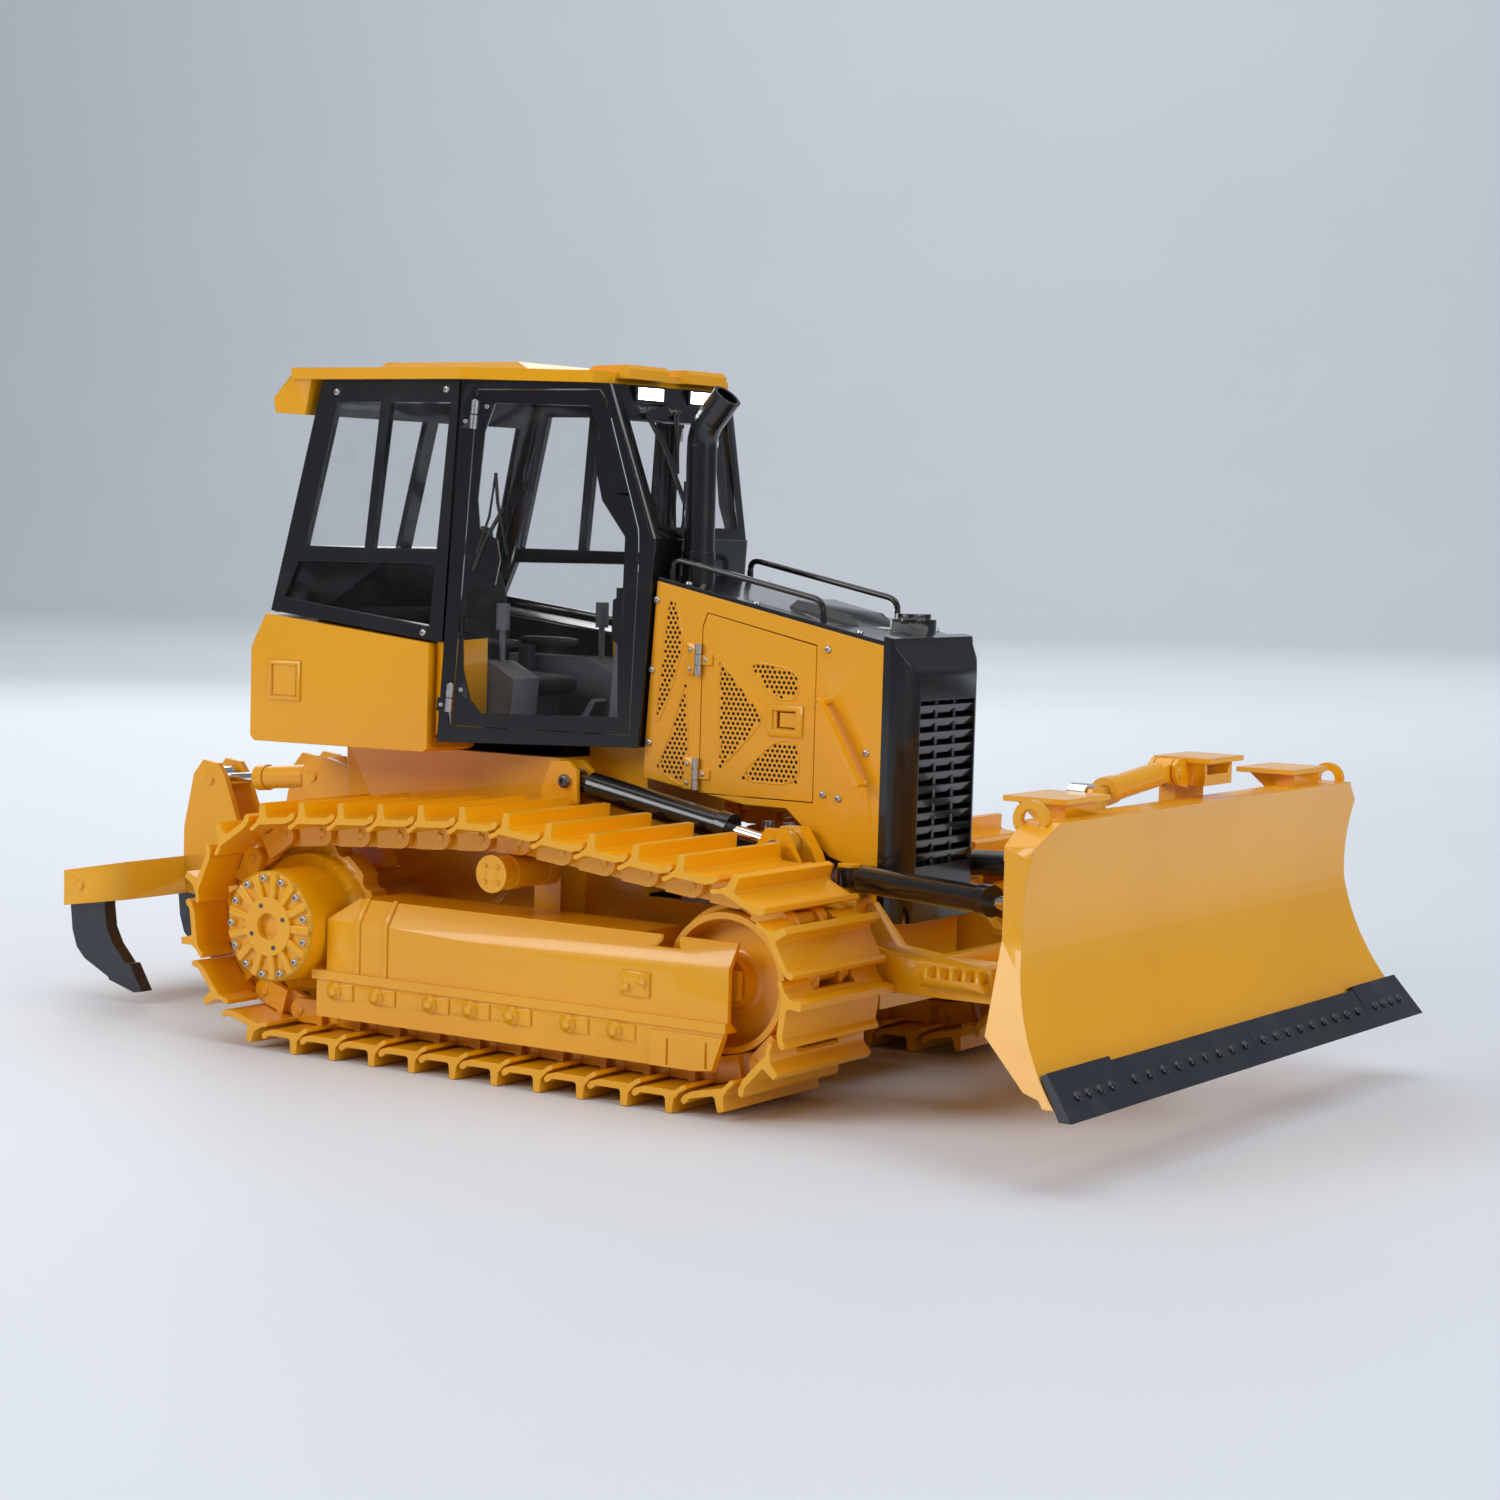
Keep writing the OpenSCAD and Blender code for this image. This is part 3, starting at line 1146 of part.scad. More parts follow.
module cutting_edge() {
    split = half_w - 45;
    color("#1c2026") {
        both() {
            plate_y(-split + 0.15, -0.15) edge_section(0);
            intersection() {
                plate_y(-half_w, -split - 0.15) edge_section(1.2);
                plate_x(200, 260) polygon([[-half_w, edge_z], [-half_w + 4, edge_z + 16],
                    [0, edge_z + 16], [0, edge_z]]);
            }
        }
    }
    color(steel) both() {
        for (i = [0:8]) edge_bolt(-7.5 - i * bolt_step);
        for (i = [0:3]) edge_bolt(-split - 9 - i * 7.8);
    }
}

// ---- Ripper -----------------------------------------------------------------------
shank_ys = [-62.5, 0, 62.5];
module ripper_beam() {
    color(yellow) {
        difference() {
            plate_y(-71, 71) polygon([[-248.5, 51.6], [-248.3, 37.3], [-213.5, 42.5],
                [-213.8, 57.8]]);
            for (y = shank_ys) box(-251, -229.4, y - 3.2, y + 3.2, 30, 56);
        }
        for (y = shank_ys) bar_y(-239.3, 46.3, y - 9.5, y + 9.5, 2);
        both() {
            difference() {
                union() {
                    plate_y(-36.8, -23.2) polygon([[rip_pivot[0], 36], [-216, 43],
                        [-216, 57], [-190, 58], [rip_pivot[0], 48]]);
                    bar_y(rip_pivot[0], rip_pivot[1], -36.8, -23.2, 6.6);
                }
                bar_y(rip_pivot[0], rip_pivot[1], -38, -22, 2.5 + run_gap);
            }
            for (y0 = [-37.8, -24.6]) plate_y(y0, y0 + 2.4) polygon([[-214, 50], [-176, 50],
                [-180, 62], [-192, 92], [-196, 97], [-204, 98], [-209, 92], [-214, 70]]);
            bar_y(rip_head[0], rip_head[1], -38.6, -21.4, hinge_d / 2);
        }
    }
}
module ripper_shanks() {
    color("#1b2230") for (y = shank_ys) difference() {
        plate_y(y - 3, y + 3) polygon([[-250, 50], [-250, 36.3], [-249, 27], [-246.5, 20],
            [-242, 15.6], [-228.5, 9.3], [-228, 8.2], [-214, 4.4], [-209.6, 5.1],
            [-216.5, 15.8], [-219, 15.8], [-226, 23], [-229.6, 29.5], [-230.8, 38],
            [-230.8, 50]]);
        bar_y(-239.3, 46.3, y - 4, y + 4, 2 + run_gap);
    }
}

main_frame();
track_frame(false);  // track_frame_right
track_frame(true);  // track_frame_left
track_guard(false);  // track_guard_right
track_guard(true);  // track_guard_left
track_chain(false);  // track_chain_right
track_chain(true);  // track_chain_left
track_shoes(false);  // track_shoes_right
track_shoes(true);  // track_shoes_left
sprocket(false);  // sprocket_right
sprocket(true);  // sprocket_left
idler(false);  // idler_right
idler(true);  // idler_left
carrier_rollers();
bottom_rollers(0);  // bottom_rollers_1
bottom_rollers(1);  // bottom_rollers_2
bottom_rollers(2);  // bottom_rollers_3
bottom_rollers(3);  // bottom_rollers_4
bottom_rollers(4);  // bottom_rollers_5
bottom_rollers(5);  // bottom_rollers_6
bottom_rollers(6);  // bottom_rollers_7
hood_top();
hood_panels();
hood_door(false);  // hood_door_right
hood_door(true);  // hood_door_left
grille();
exhaust_stack();
hood_rails();
cab_frame();
cab_windows();
cab_door(false);  // cab_door_right
cab_door(true);  // cab_door_left
door_glass(false);  // door_glass_right
door_glass(true);  // door_glass_left
cab_roof();
work_lights();
side_boxes();
fuel_tank();
operator_seat();
cab_console();
battery_pack();
hydraulic_pump();
drive_motors();
body_screws();
c_frame();
swivel_beam();
blade();
cutting_edge();
lift_barrels();
lift_rods();
angle_barrel(false);  // angle_barrel_right
angle_barrel(true);  // angle_barrel_left
angle_rod(false);  // angle_rod_right
angle_rod(true);  // angle_rod_left
tilt_barrel();
tilt_rod();
ripper_beam();
ripper_shanks();
ripper_barrels();
ripper_rods();
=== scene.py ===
# %% [markdown]
# # A toy bulldozer, finished around its working frame
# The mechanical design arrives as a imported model: every plate, pin, track link and cylinder
# already stands in its right place. This lesson adds what makes it look like the real thing:
# rounded paint edges, screws, pierced sheet, glass, chrome rods, cushions and light.
# Everything is in metres; `MM` turns the machine's millimetres into them.

# %% Load the frame
import json
import math

import bmesh
import bpy
import numpy as np
from mathutils import Matrix, Vector

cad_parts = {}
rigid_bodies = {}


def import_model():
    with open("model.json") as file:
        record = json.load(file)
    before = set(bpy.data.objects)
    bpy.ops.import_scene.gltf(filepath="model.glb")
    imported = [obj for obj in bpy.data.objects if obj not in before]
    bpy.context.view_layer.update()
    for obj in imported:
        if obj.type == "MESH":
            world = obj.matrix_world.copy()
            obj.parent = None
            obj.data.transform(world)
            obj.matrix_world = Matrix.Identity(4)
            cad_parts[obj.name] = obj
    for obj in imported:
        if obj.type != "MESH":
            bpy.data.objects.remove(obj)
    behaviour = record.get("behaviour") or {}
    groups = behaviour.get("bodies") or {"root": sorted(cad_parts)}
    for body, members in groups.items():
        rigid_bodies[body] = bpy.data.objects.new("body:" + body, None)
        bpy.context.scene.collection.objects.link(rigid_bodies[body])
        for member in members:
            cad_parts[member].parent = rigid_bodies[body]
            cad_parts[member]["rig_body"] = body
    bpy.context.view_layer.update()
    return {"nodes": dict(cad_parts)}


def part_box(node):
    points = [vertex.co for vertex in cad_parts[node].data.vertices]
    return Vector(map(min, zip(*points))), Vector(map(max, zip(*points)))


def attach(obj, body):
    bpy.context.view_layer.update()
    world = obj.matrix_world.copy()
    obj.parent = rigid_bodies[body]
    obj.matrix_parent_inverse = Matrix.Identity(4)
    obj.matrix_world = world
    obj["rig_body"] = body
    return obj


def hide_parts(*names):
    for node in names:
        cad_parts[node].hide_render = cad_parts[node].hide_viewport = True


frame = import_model()
MM = 0.001
SIDES = {"right": -1, "left": 1}

# %% [markdown]
# ## Shader maths as Python
# A material is a graph of small operations. Written as Python expressions it reads like the
# formula it is, so one class wraps a socket and lets `+`, `-` and `*` add Math nodes.
# Everything that is not arithmetic goes through one method that takes the node's type.

# %% Shader helper
class Value:
    """A shader socket that can stand in a sum."""

    def __init__(self, graph, socket):
        self.graph = graph
        self.socket = socket

    def _maths(self, operation, first, second):
        return self.graph.add("ShaderNodeMath", {"operation": operation}, {0: first, 1: second})

    def __add__(self, other):
        return self._maths("ADD", self, other)

    def __sub__(self, other):
        return self._maths("SUBTRACT", self, other)

    def __rsub__(self, other):
        return self._maths("SUBTRACT", other, self)

    def __mul__(self, other):
        return self._maths("MULTIPLY", self, other)

    __radd__ = __add__
    __rmul__ = __mul__


class Graph:
    """The node tree of one new material."""

    def __init__(self, name):
        self.material = bpy.data.materials.new(name)
        self.material.use_nodes = True
        self.tree = self.material.node_tree
        self.tree.nodes.clear()
        self.place = self.add("ShaderNodeTexCoord", output="Object")

    def add(self, kind, settings=None, inputs=None, output=0):
        """Adds a node: its settings first, then the values or links of its sockets."""
        node = self.tree.nodes.new(kind)
        for key, value in (settings or {}).items():
            setattr(node, key, value)
        for key, value in (inputs or {}).items():
            if isinstance(value, Value):
                self.tree.links.new(value.socket, node.inputs[key])
            else:
                node.inputs[key].default_value = value
        return None if output is None else Value(self, node.outputs[output])

    def noise(self, scale, detail=2.0, roughness=0.5):
        """Smooth noise around 0.5, with `scale` bumps to the metre."""
        return self.add("ShaderNodeTexNoise", {}, {
            "Vector": self.place, "Scale": scale, "Detail": detail, "Roughness": roughness})

    def above(self, value, low, high):
        """0 below `low`, 1 above `high`, and a smooth step between them."""
        return self.add("ShaderNodeMapRange", {"interpolation_type": "SMOOTHSTEP"}, {
            "Value": value, "From Min": low, "From Max": high})

    def blend(self, factor, low, high):
        """Mixes two colours by a factor from 0 to 1."""
        return self.add("ShaderNodeMix", {"data_type": "RGBA"}, {0: factor, 6: low, 7: high},
                        output=2)

    def bump(self, height, depth, strength=1.0, edge=None):
        """Turns a height field into a tilted normal; `depth` is in metres.

        With `edge`, corners are first shaded as if rounded to that radius in metres."""
        inputs = {"Height": height, "Distance": depth, "Strength": strength}
        if edge:
            inputs["Normal"] = self.add("ShaderNodeBevel", {"samples": 4}, {"Radius": edge})
        return self.add("ShaderNodeBump", {}, inputs)

    def surface(self, **inputs):
        """Ends the graph in a Principled shader. Underscores stand for the spaces in names."""
        sockets = {key.replace("_", " "): value for key, value in inputs.items()}
        shader = self.add("ShaderNodeBsdfPrincipled", {}, sockets)
        self.add("ShaderNodeOutputMaterial", {}, {"Surface": shader}, output=None)
        return self.material


def rgb(red, green, blue):
    """A linear colour with full alpha."""
    return (red, green, blue, 1.0)

# %% [markdown]
# ## Paint
# The body is sprayed metal under clear lacquer. Three things make paint read as paint: a very
# slow drift in colour, a fine waviness in the lacquer called orange peel, and a roughness that
# is not quite the same everywhere, as after wiping. The same recipe serves yellow and black.

# %% Paint recipe
def sprayed(name, colour, deeper, rough, lacquer, dust=0.0):
    """Lacquered paint: slow colour drift, orange peel and a faint film of dust."""
    g = Graph(name)
    drift = g.above(g.noise(9.0, 3.0), 0.35, 0.65)
    film = g.above(g.noise(55.0, 5.0, 0.62), 0.45, 0.8)
    base = g.blend(drift, rgb(*deeper), rgb(*colour))
    base = g.blend(film * dust, base, rgb(0.45, 0.42, 0.37))
    peel = g.noise(1500.0, 1.0) * 0.6 + g.noise(420.0, 2.0) * 0.4
    return g.surface(
        Base_Color=base,
        Roughness=rough + film * 0.07,
        Coat_Weight=lacquer,
        Coat_Roughness=0.05,
        Normal=g.bump(peel, 0.00006, 0.35, edge=0.00045),
    )


YELLOW = sprayed("yellow_paint", (0.93, 0.425, 0.0), (0.89, 0.39, 0.0), 0.32, 0.35)
BLACK = sprayed("black_paint", (0.0055, 0.006, 0.0072), (0.004, 0.0045, 0.0055), 0.22, 0.45, 0.006)
EDGE_BLACK = sprayed("wear_part_paint", (0.012, 0.015, 0.026), (0.007, 0.009, 0.016), 0.34, 0.35,
                     0.05)

# %% [markdown]
# ## Metals
# Chrome is almost a mirror, so its only detail is a very faint streak in its roughness. Screws
# are brushed steel. Pin keepers are grey phosphated steel, darker and duller.

# %% Metals
def metal(name, colour, rough, streak, along=(1.0, 1.0, 1.0)):
    """Bare metal with fine streaks; `along` squeezes the noise to give them a direction."""
    g = Graph(name)
    stretched = g.add("ShaderNodeVectorMath", {"operation": "MULTIPLY"}, {0: g.place, 1: along})
    lines = g.add("ShaderNodeTexNoise", {}, {
        "Vector": stretched, "Scale": 900.0, "Detail": 3.0, "Roughness": 0.6})
    darker = tuple(0.82 * c for c in colour)
    return g.surface(
        Base_Color=g.blend(lines, rgb(*darker), rgb(*colour)),
        Metallic=1.0,
        Roughness=rough + lines * streak,
        Normal=g.bump(lines, 0.00002, 0.25),
    )


CHROME = metal("chrome_plating", (0.86, 0.87, 0.89), 0.045, 0.05, (1.0, 6.0, 6.0))
STEEL = metal("bright_steel", (0.62, 0.62, 0.63), 0.2, 0.18)
KEEPER = metal("keeper_steel", (0.16, 0.165, 0.175), 0.32, 0.2)

# %% [markdown]
# ## Glass, plastics and the lamps
# The panes are thin and clear: what shows is a faint grey film and the highlight on top, so a
# low alpha does better than refraction, which would darken the cab. Moulded plastic has a fine
# leathery grain. The lamps are on, behind a ribbed lens.

# %% Glass, plastic, lamps
def window_glass():
    """Clear pane: a thin grey film with a few soft smears."""
    g = Graph("window_glass")
    smear = g.above(g.noise(60.0, 4.0, 0.6), 0.5, 0.85)
    return g.surface(
        Base_Color=g.blend(smear, rgb(0.10, 0.11, 0.12), rgb(0.45, 0.47, 0.5)),
        Roughness=0.03 + smear * 0.12,
        Alpha=0.035 + smear * 0.05,
        IOR=1.5,
    )


def grained(name, colour, rough, grain=2600.0, depth=0.00005):
    """Moulded plastic: the small pebbles of a leather-grain mould."""
    g = Graph(name)
    pebbles = g.add("ShaderNodeTexVoronoi", {}, {"Vector": g.place, "Scale": grain})
    patches = g.noise(120.0, 3.0)
    darker = tuple(0.8 * c for c in colour)
    return g.surface(
        Base_Color=g.blend(patches, rgb(*darker), rgb(*colour)),
        Roughness=rough + patches * 0.12,
        Normal=g.bump(pebbles, depth, 0.5),
    )


def lamp_lens():
    """A lit lens: bright, with upright ribs a millimetre apart."""
    g = Graph("lamp_lens")
    ribs = g.add("ShaderNodeTexWave", {"bands_direction": "Y"}, {
        "Vector": g.place, "Scale": 160.0, "Distortion": 0.0})
    glow = g.blend(ribs, rgb(0.72, 0.95, 0.82), rgb(1.0, 1.0, 0.97))
    return g.surface(Base_Color=rgb(0.9, 0.92, 0.9), Roughness=0.2, Emission_Color=glow,
                     Emission_Strength=7.0)


GLASS = window_glass()
SEAT = grained("seat_vinyl", (0.022, 0.023, 0.026), 0.42)
GREY = grained("console_plastic", (0.17, 0.18, 0.20), 0.45)
RUBBER = grained("black_rubber", (0.012, 0.012, 0.013), 0.5, 1800.0)
BATTERY = grained("battery_wrap", (0.03, 0.07, 0.25), 0.3, 900.0)
LENS = lamp_lens()
# Painted shade: near-black discs that stand for the shaded inside of the hood seen through its holes.
HOLE_PAINTED_SHADE = grained("hole_painted_shade", (0.004, 0.003, 0.002), 0.8, 900.0)
print("materials:", len(bpy.data.materials))

# %% [markdown]
# ## From loose triangles to finished sheet metal
# The frame's meshes are loose triangles. Each node gets a finished copy whose doubles are
# merged, so that round faces shade smoothly and only real corners stay sharp. Real folded and
# painted metal has a small radius on every corner, and that radius catches the light. The
# sheets have hundreds of holes and notches, where a modelled bevel would tear, so the paint's
# shader rounds the corners instead: it turns the normal within half a millimetre of them.
# Weighted normals let the large faces decide, so that a panel stays flat up to its edges.

# %% Finished copies
SHARP = math.radians(24)


def link(obj):
    """Puts a new object into the scene."""
    bpy.context.scene.collection.objects.link(obj)
    return obj


def joined_mesh(node):
    """A copy of a node's mesh with its doubles merged, so that faces share their edges."""
    mesh = frame["nodes"][node].data.copy()
    bm = bmesh.new()
    bm.from_mesh(mesh)
    bmesh.ops.remove_doubles(bm, verts=bm.verts, dist=2e-6)
    bmesh.ops.dissolve_degenerate(bm, edges=bm.edges, dist=2e-6)
    bm.to_mesh(mesh)
    bm.free()
    return mesh


def paint_faces(mesh, materials, rules):
    """Gives faces the material whose rule, a test on their centres in millimetres, is true."""
    mesh.materials.clear()
    for material in materials:
        mesh.materials.append(material)
    centre = np.zeros(3 * len(mesh.polygons))
    mesh.polygons.foreach_get("center", centre)
    x, y, z = centre.reshape(-1, 3).T / MM
    index = np.zeros(len(mesh.polygons), dtype=np.int32)
    for number, rule in enumerate(rules, start=1):
        index[rule(x, y, z)] = number
    mesh.polygons.foreach_set("material_index", index)


def finish(node, material, others=(), rules=()):
    """Makes the finished copy of a node, which stands for it and rides on its body."""
    mesh = joined_mesh(node)
    paint_faces(mesh, [material, *others], rules)
    mesh.polygons.foreach_set("use_smooth", np.ones(len(mesh.polygons), dtype=bool))
    mesh.set_sharp_from_angle(angle=SHARP)
    obj = link(bpy.data.objects.new(node + "_finished", mesh))
    normals = obj.modifiers.new("flat faces stay flat", "WEIGHTED_NORMAL")
    normals.keep_sharp = True
    normals.weight = 80
    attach(obj, frame["nodes"][node]["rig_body"])
    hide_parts(node)
    return obj

# %% [markdown]
# ## Which finish each part wears
# Most parts wear one finish. Some need a second material on a few faces, such as the bright
# barrel of a hinge or the lit block of a lamp; a rule on the face's place picks those faces.

# %% Hinge barrels
HOOD_Y = 28.5
HINGE_X = 33.0
HINGE_Y = HOOD_Y + 1.4


def hood_hinge(x, y, z):
    """True on the round barrels of the hood doors' hinges."""
    near = np.hypot(x - HINGE_X, np.abs(y) - HINGE_Y) < 1.55
    return near & (np.abs(y) > HOOD_Y + 0.05) & (((z > 101) & (z < 114)) | ((z > 143) & (z < 156)))


def cab_hinge(x, y, z):
    """True on the round barrels of the cab doors' hinges, which lean forwards."""
    lean_x = -50.71 + 0.0579 * (z - 132)
    lean_y = 69.97 - 0.0349 * (z - 132)
    near = np.hypot(x - lean_x, np.abs(y) - lean_y) < 1.65
    return near & (((z > 127) & (z < 139)) | ((z > 231) & (z < 243.4)))


def inner_wall(x, y, z):
    """True on the yellow wall behind the doors, at the front of the side boxes."""
    return (x > -60.0) & (x < -55.5) & (np.abs(y) < 67.6) & (z < 153.0) & (z > 118.5)

# %% Body parts
for node in ("main_frame", "track_frame_right", "track_frame_left", "side_boxes", "fuel_tank",
             "track_guard_right", "track_guard_left", "cab_roof"):
    finish(node, YELLOW)
for node in ("hood_panels", "hood_door_right", "hood_door_left"):
    finish(node, YELLOW, [STEEL], [hood_hinge])
for node in ("cab_frame", "cab_door_right", "cab_door_left"):
    finish(node, BLACK, [STEEL, YELLOW], [cab_hinge, inner_wall])
for node in ("hood_top", "grille", "exhaust_stack"):
    finish(node, BLACK)
for node in ("cab_windows", "door_glass_right", "door_glass_left"):
    finish(node, GLASS)

# %% Running gear
for node in ("sprocket_right", "sprocket_left", "idler_right", "idler_left", "carrier_rollers",
             "track_chain_right", "track_chain_left", "track_shoes_right", "track_shoes_left"):
    finish(node, YELLOW)
for number in range(1, 8):
    finish(f"bottom_rollers_{number}", YELLOW)

# %% Blade, ripper and cylinders
for node in ("c_frame", "swivel_beam", "blade", "ripper_beam", "tilt_barrel", "ripper_barrels"):
    finish(node, YELLOW)
for node in ("cutting_edge", "ripper_shanks"):
    finish(node, EDGE_BLACK)
for node in ("lift_barrels", "angle_barrel_right", "angle_barrel_left"):
    finish(node, BLACK)
for node in ("lift_rods", "angle_rod_right", "angle_rod_left", "tilt_rod", "ripper_rods"):
    finish(node, CHROME)

# %% Parts inside
finish("cab_console", GREY)
finish("battery_pack", BATTERY)
finish("hydraulic_pump", STEEL)
finish("drive_motors", STEEL)


def lens_faces(x, y, z):
    """True on the lit blocks inside the lamp housings."""
    return (np.abs(np.abs(y) - 17.25) < 8.2) & (x > -5.0) & (x < 0.2) & (z > 244.5) & (z < 249.4)


finish("work_lights", BLACK, [LENS], [lens_faces])

# %% [markdown]
# ## Button-head screws
# The real body is held by small button-head screws with a hexagon socket. One profile is
# enough for all of them: it starts in the socket, climbs over the dome and ends at the rim.
# Turned round its axis it becomes a grid, and the socket's rings are pulled out to six corners.

# %% Surfaces from grids
def grid_mesh(name, grids, closed_u=True, material=None):
    """Joins point grids of shape (rows, columns, 3), in millimetres, into one mesh.

    Each quad runs from a row to the next; `closed_u` joins the last column to the first, and
    rows whose points coincide are poles."""
    points, faces, start = [], [], 0
    for grid in grids:
        rows, columns = grid.shape[:2]
        index = start + np.arange(rows * columns).reshape(rows, columns)
        right = np.roll(index, -1, axis=1) if closed_u else index[:, 1:]
        left = index if closed_u else index[:, :-1]
        quads = np.stack([left[:-1], right[:-1], right[1:], left[1:]], axis=-1)
        points.append(grid.reshape(-1, 3))
        faces.append(quads.reshape(-1, 4))
        start += rows * columns
    mesh = bpy.data.meshes.new(name)
    mesh.from_pydata(np.concatenate(points) * MM, [], np.concatenate(faces).tolist())
    bm = bmesh.new()
    bm.from_mesh(mesh)
    bmesh.ops.remove_doubles(bm, verts=bm.verts, dist=1e-6)
    bmesh.ops.dissolve_degenerate(bm, edges=bm.edges, dist=1e-7)
    bmesh.ops.recalc_face_normals(bm, faces=bm.faces)
    bm.to_mesh(mesh)
    bm.free()
    if material:
        mesh.materials.append(material)
    mesh.polygons.foreach_set("use_smooth", np.ones(len(mesh.polygons), dtype=bool))
    mesh.set_sharp_from_angle(angle=math.radians(40))
    return mesh


def piece(name, mesh, body, slot, *stands_for):
    """Puts a mesh in the scene as a piece that rides on a body."""
    obj = link(bpy.data.objects.new(name, mesh))
    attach(obj, body)
    if stands_for:
        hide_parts(*stands_for)
    return obj


def axes(normal):
    """Three unit vectors: two across the normal, then the normal."""
    n = np.array(normal, dtype=float)
    n /= np.linalg.norm(n)
    side = np.cross(n, [0.0, 0.0, 1.0] if abs(n[2]) < 0.9 else [1.0, 0.0, 0.0])
    side /= np.linalg.norm(side)
    return np.stack([side, np.cross(n, side), n])


def button_head(centre, normal, radius, height, columns=18):
    """Grid of a screw head: rings of radius r(t) at height z(t), the socket's rings hexagonal.

    A ring's hexagon radius is r * cos(30 deg) / cos(angle folded into one sixth)."""
    socket = 0.5 * radius
    rings = [(0.0, 0.35, 0), (socket, 0.35, 1), (socket, 0.97, 1), (0.62 * radius, 1.0, 0),
             (0.85 * radius, 0.8, 0), (0.97 * radius, 0.45, 0), (radius, 0.0, 0),
             (0.0, -0.02, 0)]
    angle = np.linspace(0.0, 2 * math.pi, columns, endpoint=False)
    folded = np.mod(angle, math.pi / 3) - math.pi / 6
    hexagon = math.cos(math.pi / 6) / np.cos(folded)
    grid = []
    for r, z, six in rings:
        reach = r * (hexagon if six else np.ones(columns))
        grid.append(np.stack([reach * np.cos(angle), reach * np.sin(angle),
                              np.full(columns, z * height)], axis=-1))
    return np.array(centre) + np.array(grid) @ axes(normal)


def screws(name, places, radius, height, body, material=None, slot="bare_steel", replaced=()):
    """One piece that holds many equal screws; `places` are (centre, normal) pairs."""
    heads = [button_head(centre, normal, radius, height) for centre, normal in places]
    mesh = grid_mesh(name, heads, material=material or STEEL)
    return piece(name, mesh, body, slot, *replaced)

# %% [markdown]
# ## Where the screws sit
# Panels lie in a few planes: the hood's sides are upright and square to the machine, the cab's
# sides lean in by a degree and a half, and the doors stand at an angle. A small function turns
# a place drawn on each plane into a place in the machine.

# %% Planes of the body
FLOOR_Z = 117.0
POST = (-52.0, 69.0)
DOOR_TURN = math.atan2(38.0, 63.0)
LEAN = math.radians(1.5)


def on_hood(side, x, z, out=0.0):
    """A place on a hood side panel and its outward normal."""
    return (x, side * (HOOD_Y + out), z), (0.0, side, 0.0)


def on_side(side, x, z, out=0.0):
    """A place on a leaning cab side wall: height above the floor turns about the floor line."""
    up = z - FLOOR_Z
    y = 70.7 + out * math.cos(LEAN) - up * math.sin(LEAN)
    return (x, side * y, FLOOR_Z + up * math.cos(LEAN)), (0.0, side * math.cos(LEAN), math.sin(LEAN))


def on_door(side, u, z, out=0.0):
    """A place on a door plane: u millimetres forwards from the post, `out` in front of it."""
    c, s = math.cos(DOOR_TURN), math.sin(DOOR_TURN)
    x = POST[0] + u * c + out * s
    y = -POST[1] + u * s - out * c
    return (x, -side * y, z), (s, side * c, 0.0)


def hood_line(x):
    """Height of the hood's sloping top edge."""
    return 178.0 - 0.2 * (x - 13.0)

# %% Body screws
panel_spots = [(13, 171), (11.5, 145), (11, 118), (88, 156), (105, 120), (87.5, 104), (94, 103)]
spots = []
for side in SIDES.values():
    spots += [on_hood(side, x, z) for x, z in panel_spots]
    spots += [on_side(side, x, z) for x, z in ((-110, 245.4), (-57, 246.4), (-64, 156.2))]
    spots += [((x, side * 26.9, hood_line(x) + 1.8), (0.2, 0, 1)) for x in (26, 56, 100)]
screws("body_button_screws", spots, 1.35, 0.95, "chassis", replaced=("body_screws",))

hinge_spots = []
for side in SIDES.values():
    hinge_spots += [on_hood(side, 28.9, z, 0.85) for z in (104.2, 111.2, 146.2, 153.2)]
    hinge_spots += [on_door(side, u, z, 0.95) for u, z in ((-2.6, 129.9), (4.4, 234.6))]
screws("hinge_leaf_screws", hinge_spots, 0.85, 0.55, "chassis")
for name, side in SIDES.items():
    screws(f"hood_door_{name}_screws",
           [on_hood(side, 35.9, z, 0.85) for z in (107.8, 149.8)],
           0.85, 0.55, f"hood_door_{name}_body")
    screws(f"cab_door_{name}_screws",
           [on_door(side, u, z, 0.95) for u, z in ((4.7, 135.6), (12.2, 240.2))],
           0.9, 0.55, f"cab_door_{name}_body")
print("screw places:", len(spots) + len(hinge_spots))

# %% [markdown]
# ## Perforated sheet
# The hood breathes through punched fields. Cutting hundreds of round holes would cost many
# thousands of triangles, so no hole is cut: a small dark disc that lies on the sheet shows it.
# The disc's near-black colour is painted shade for the hood's dark inside seen through a hole.
# The holes stand in a hexagonal grid and are kept where they fall inside a field's outline. A
# thin pressed rim runs round each field, which is what catches the light.

# %% Fields and rims
def inside(points, outline):
    """True for the points inside a polygon: a ray to the right crosses its edges an odd number
    of times."""
    x, y = points[:, :1], points[:, 1:2]
    a = np.array(outline, dtype=float)
    b = np.roll(a, -1, axis=0)
    crosses = (a[:, 1] > y) != (b[:, 1] > y)
    with np.errstate(divide="ignore", invalid="ignore"):
        cut = a[:, 0] + (y - a[:, 1]) * (b[:, 0] - a[:, 0]) / (b[:, 1] - a[:, 1])
    return (np.sum(crosses & (x < cut), axis=1) % 2).astype(bool)


def shrink(outline, margin):
    """Moves each corner of an outline towards the middle by `margin` millimetres."""
    points = np.array(outline, dtype=float)
    inward = points.mean(axis=0) - points
    return points + inward * (margin / np.linalg.norm(inward, axis=1, keepdims=True))


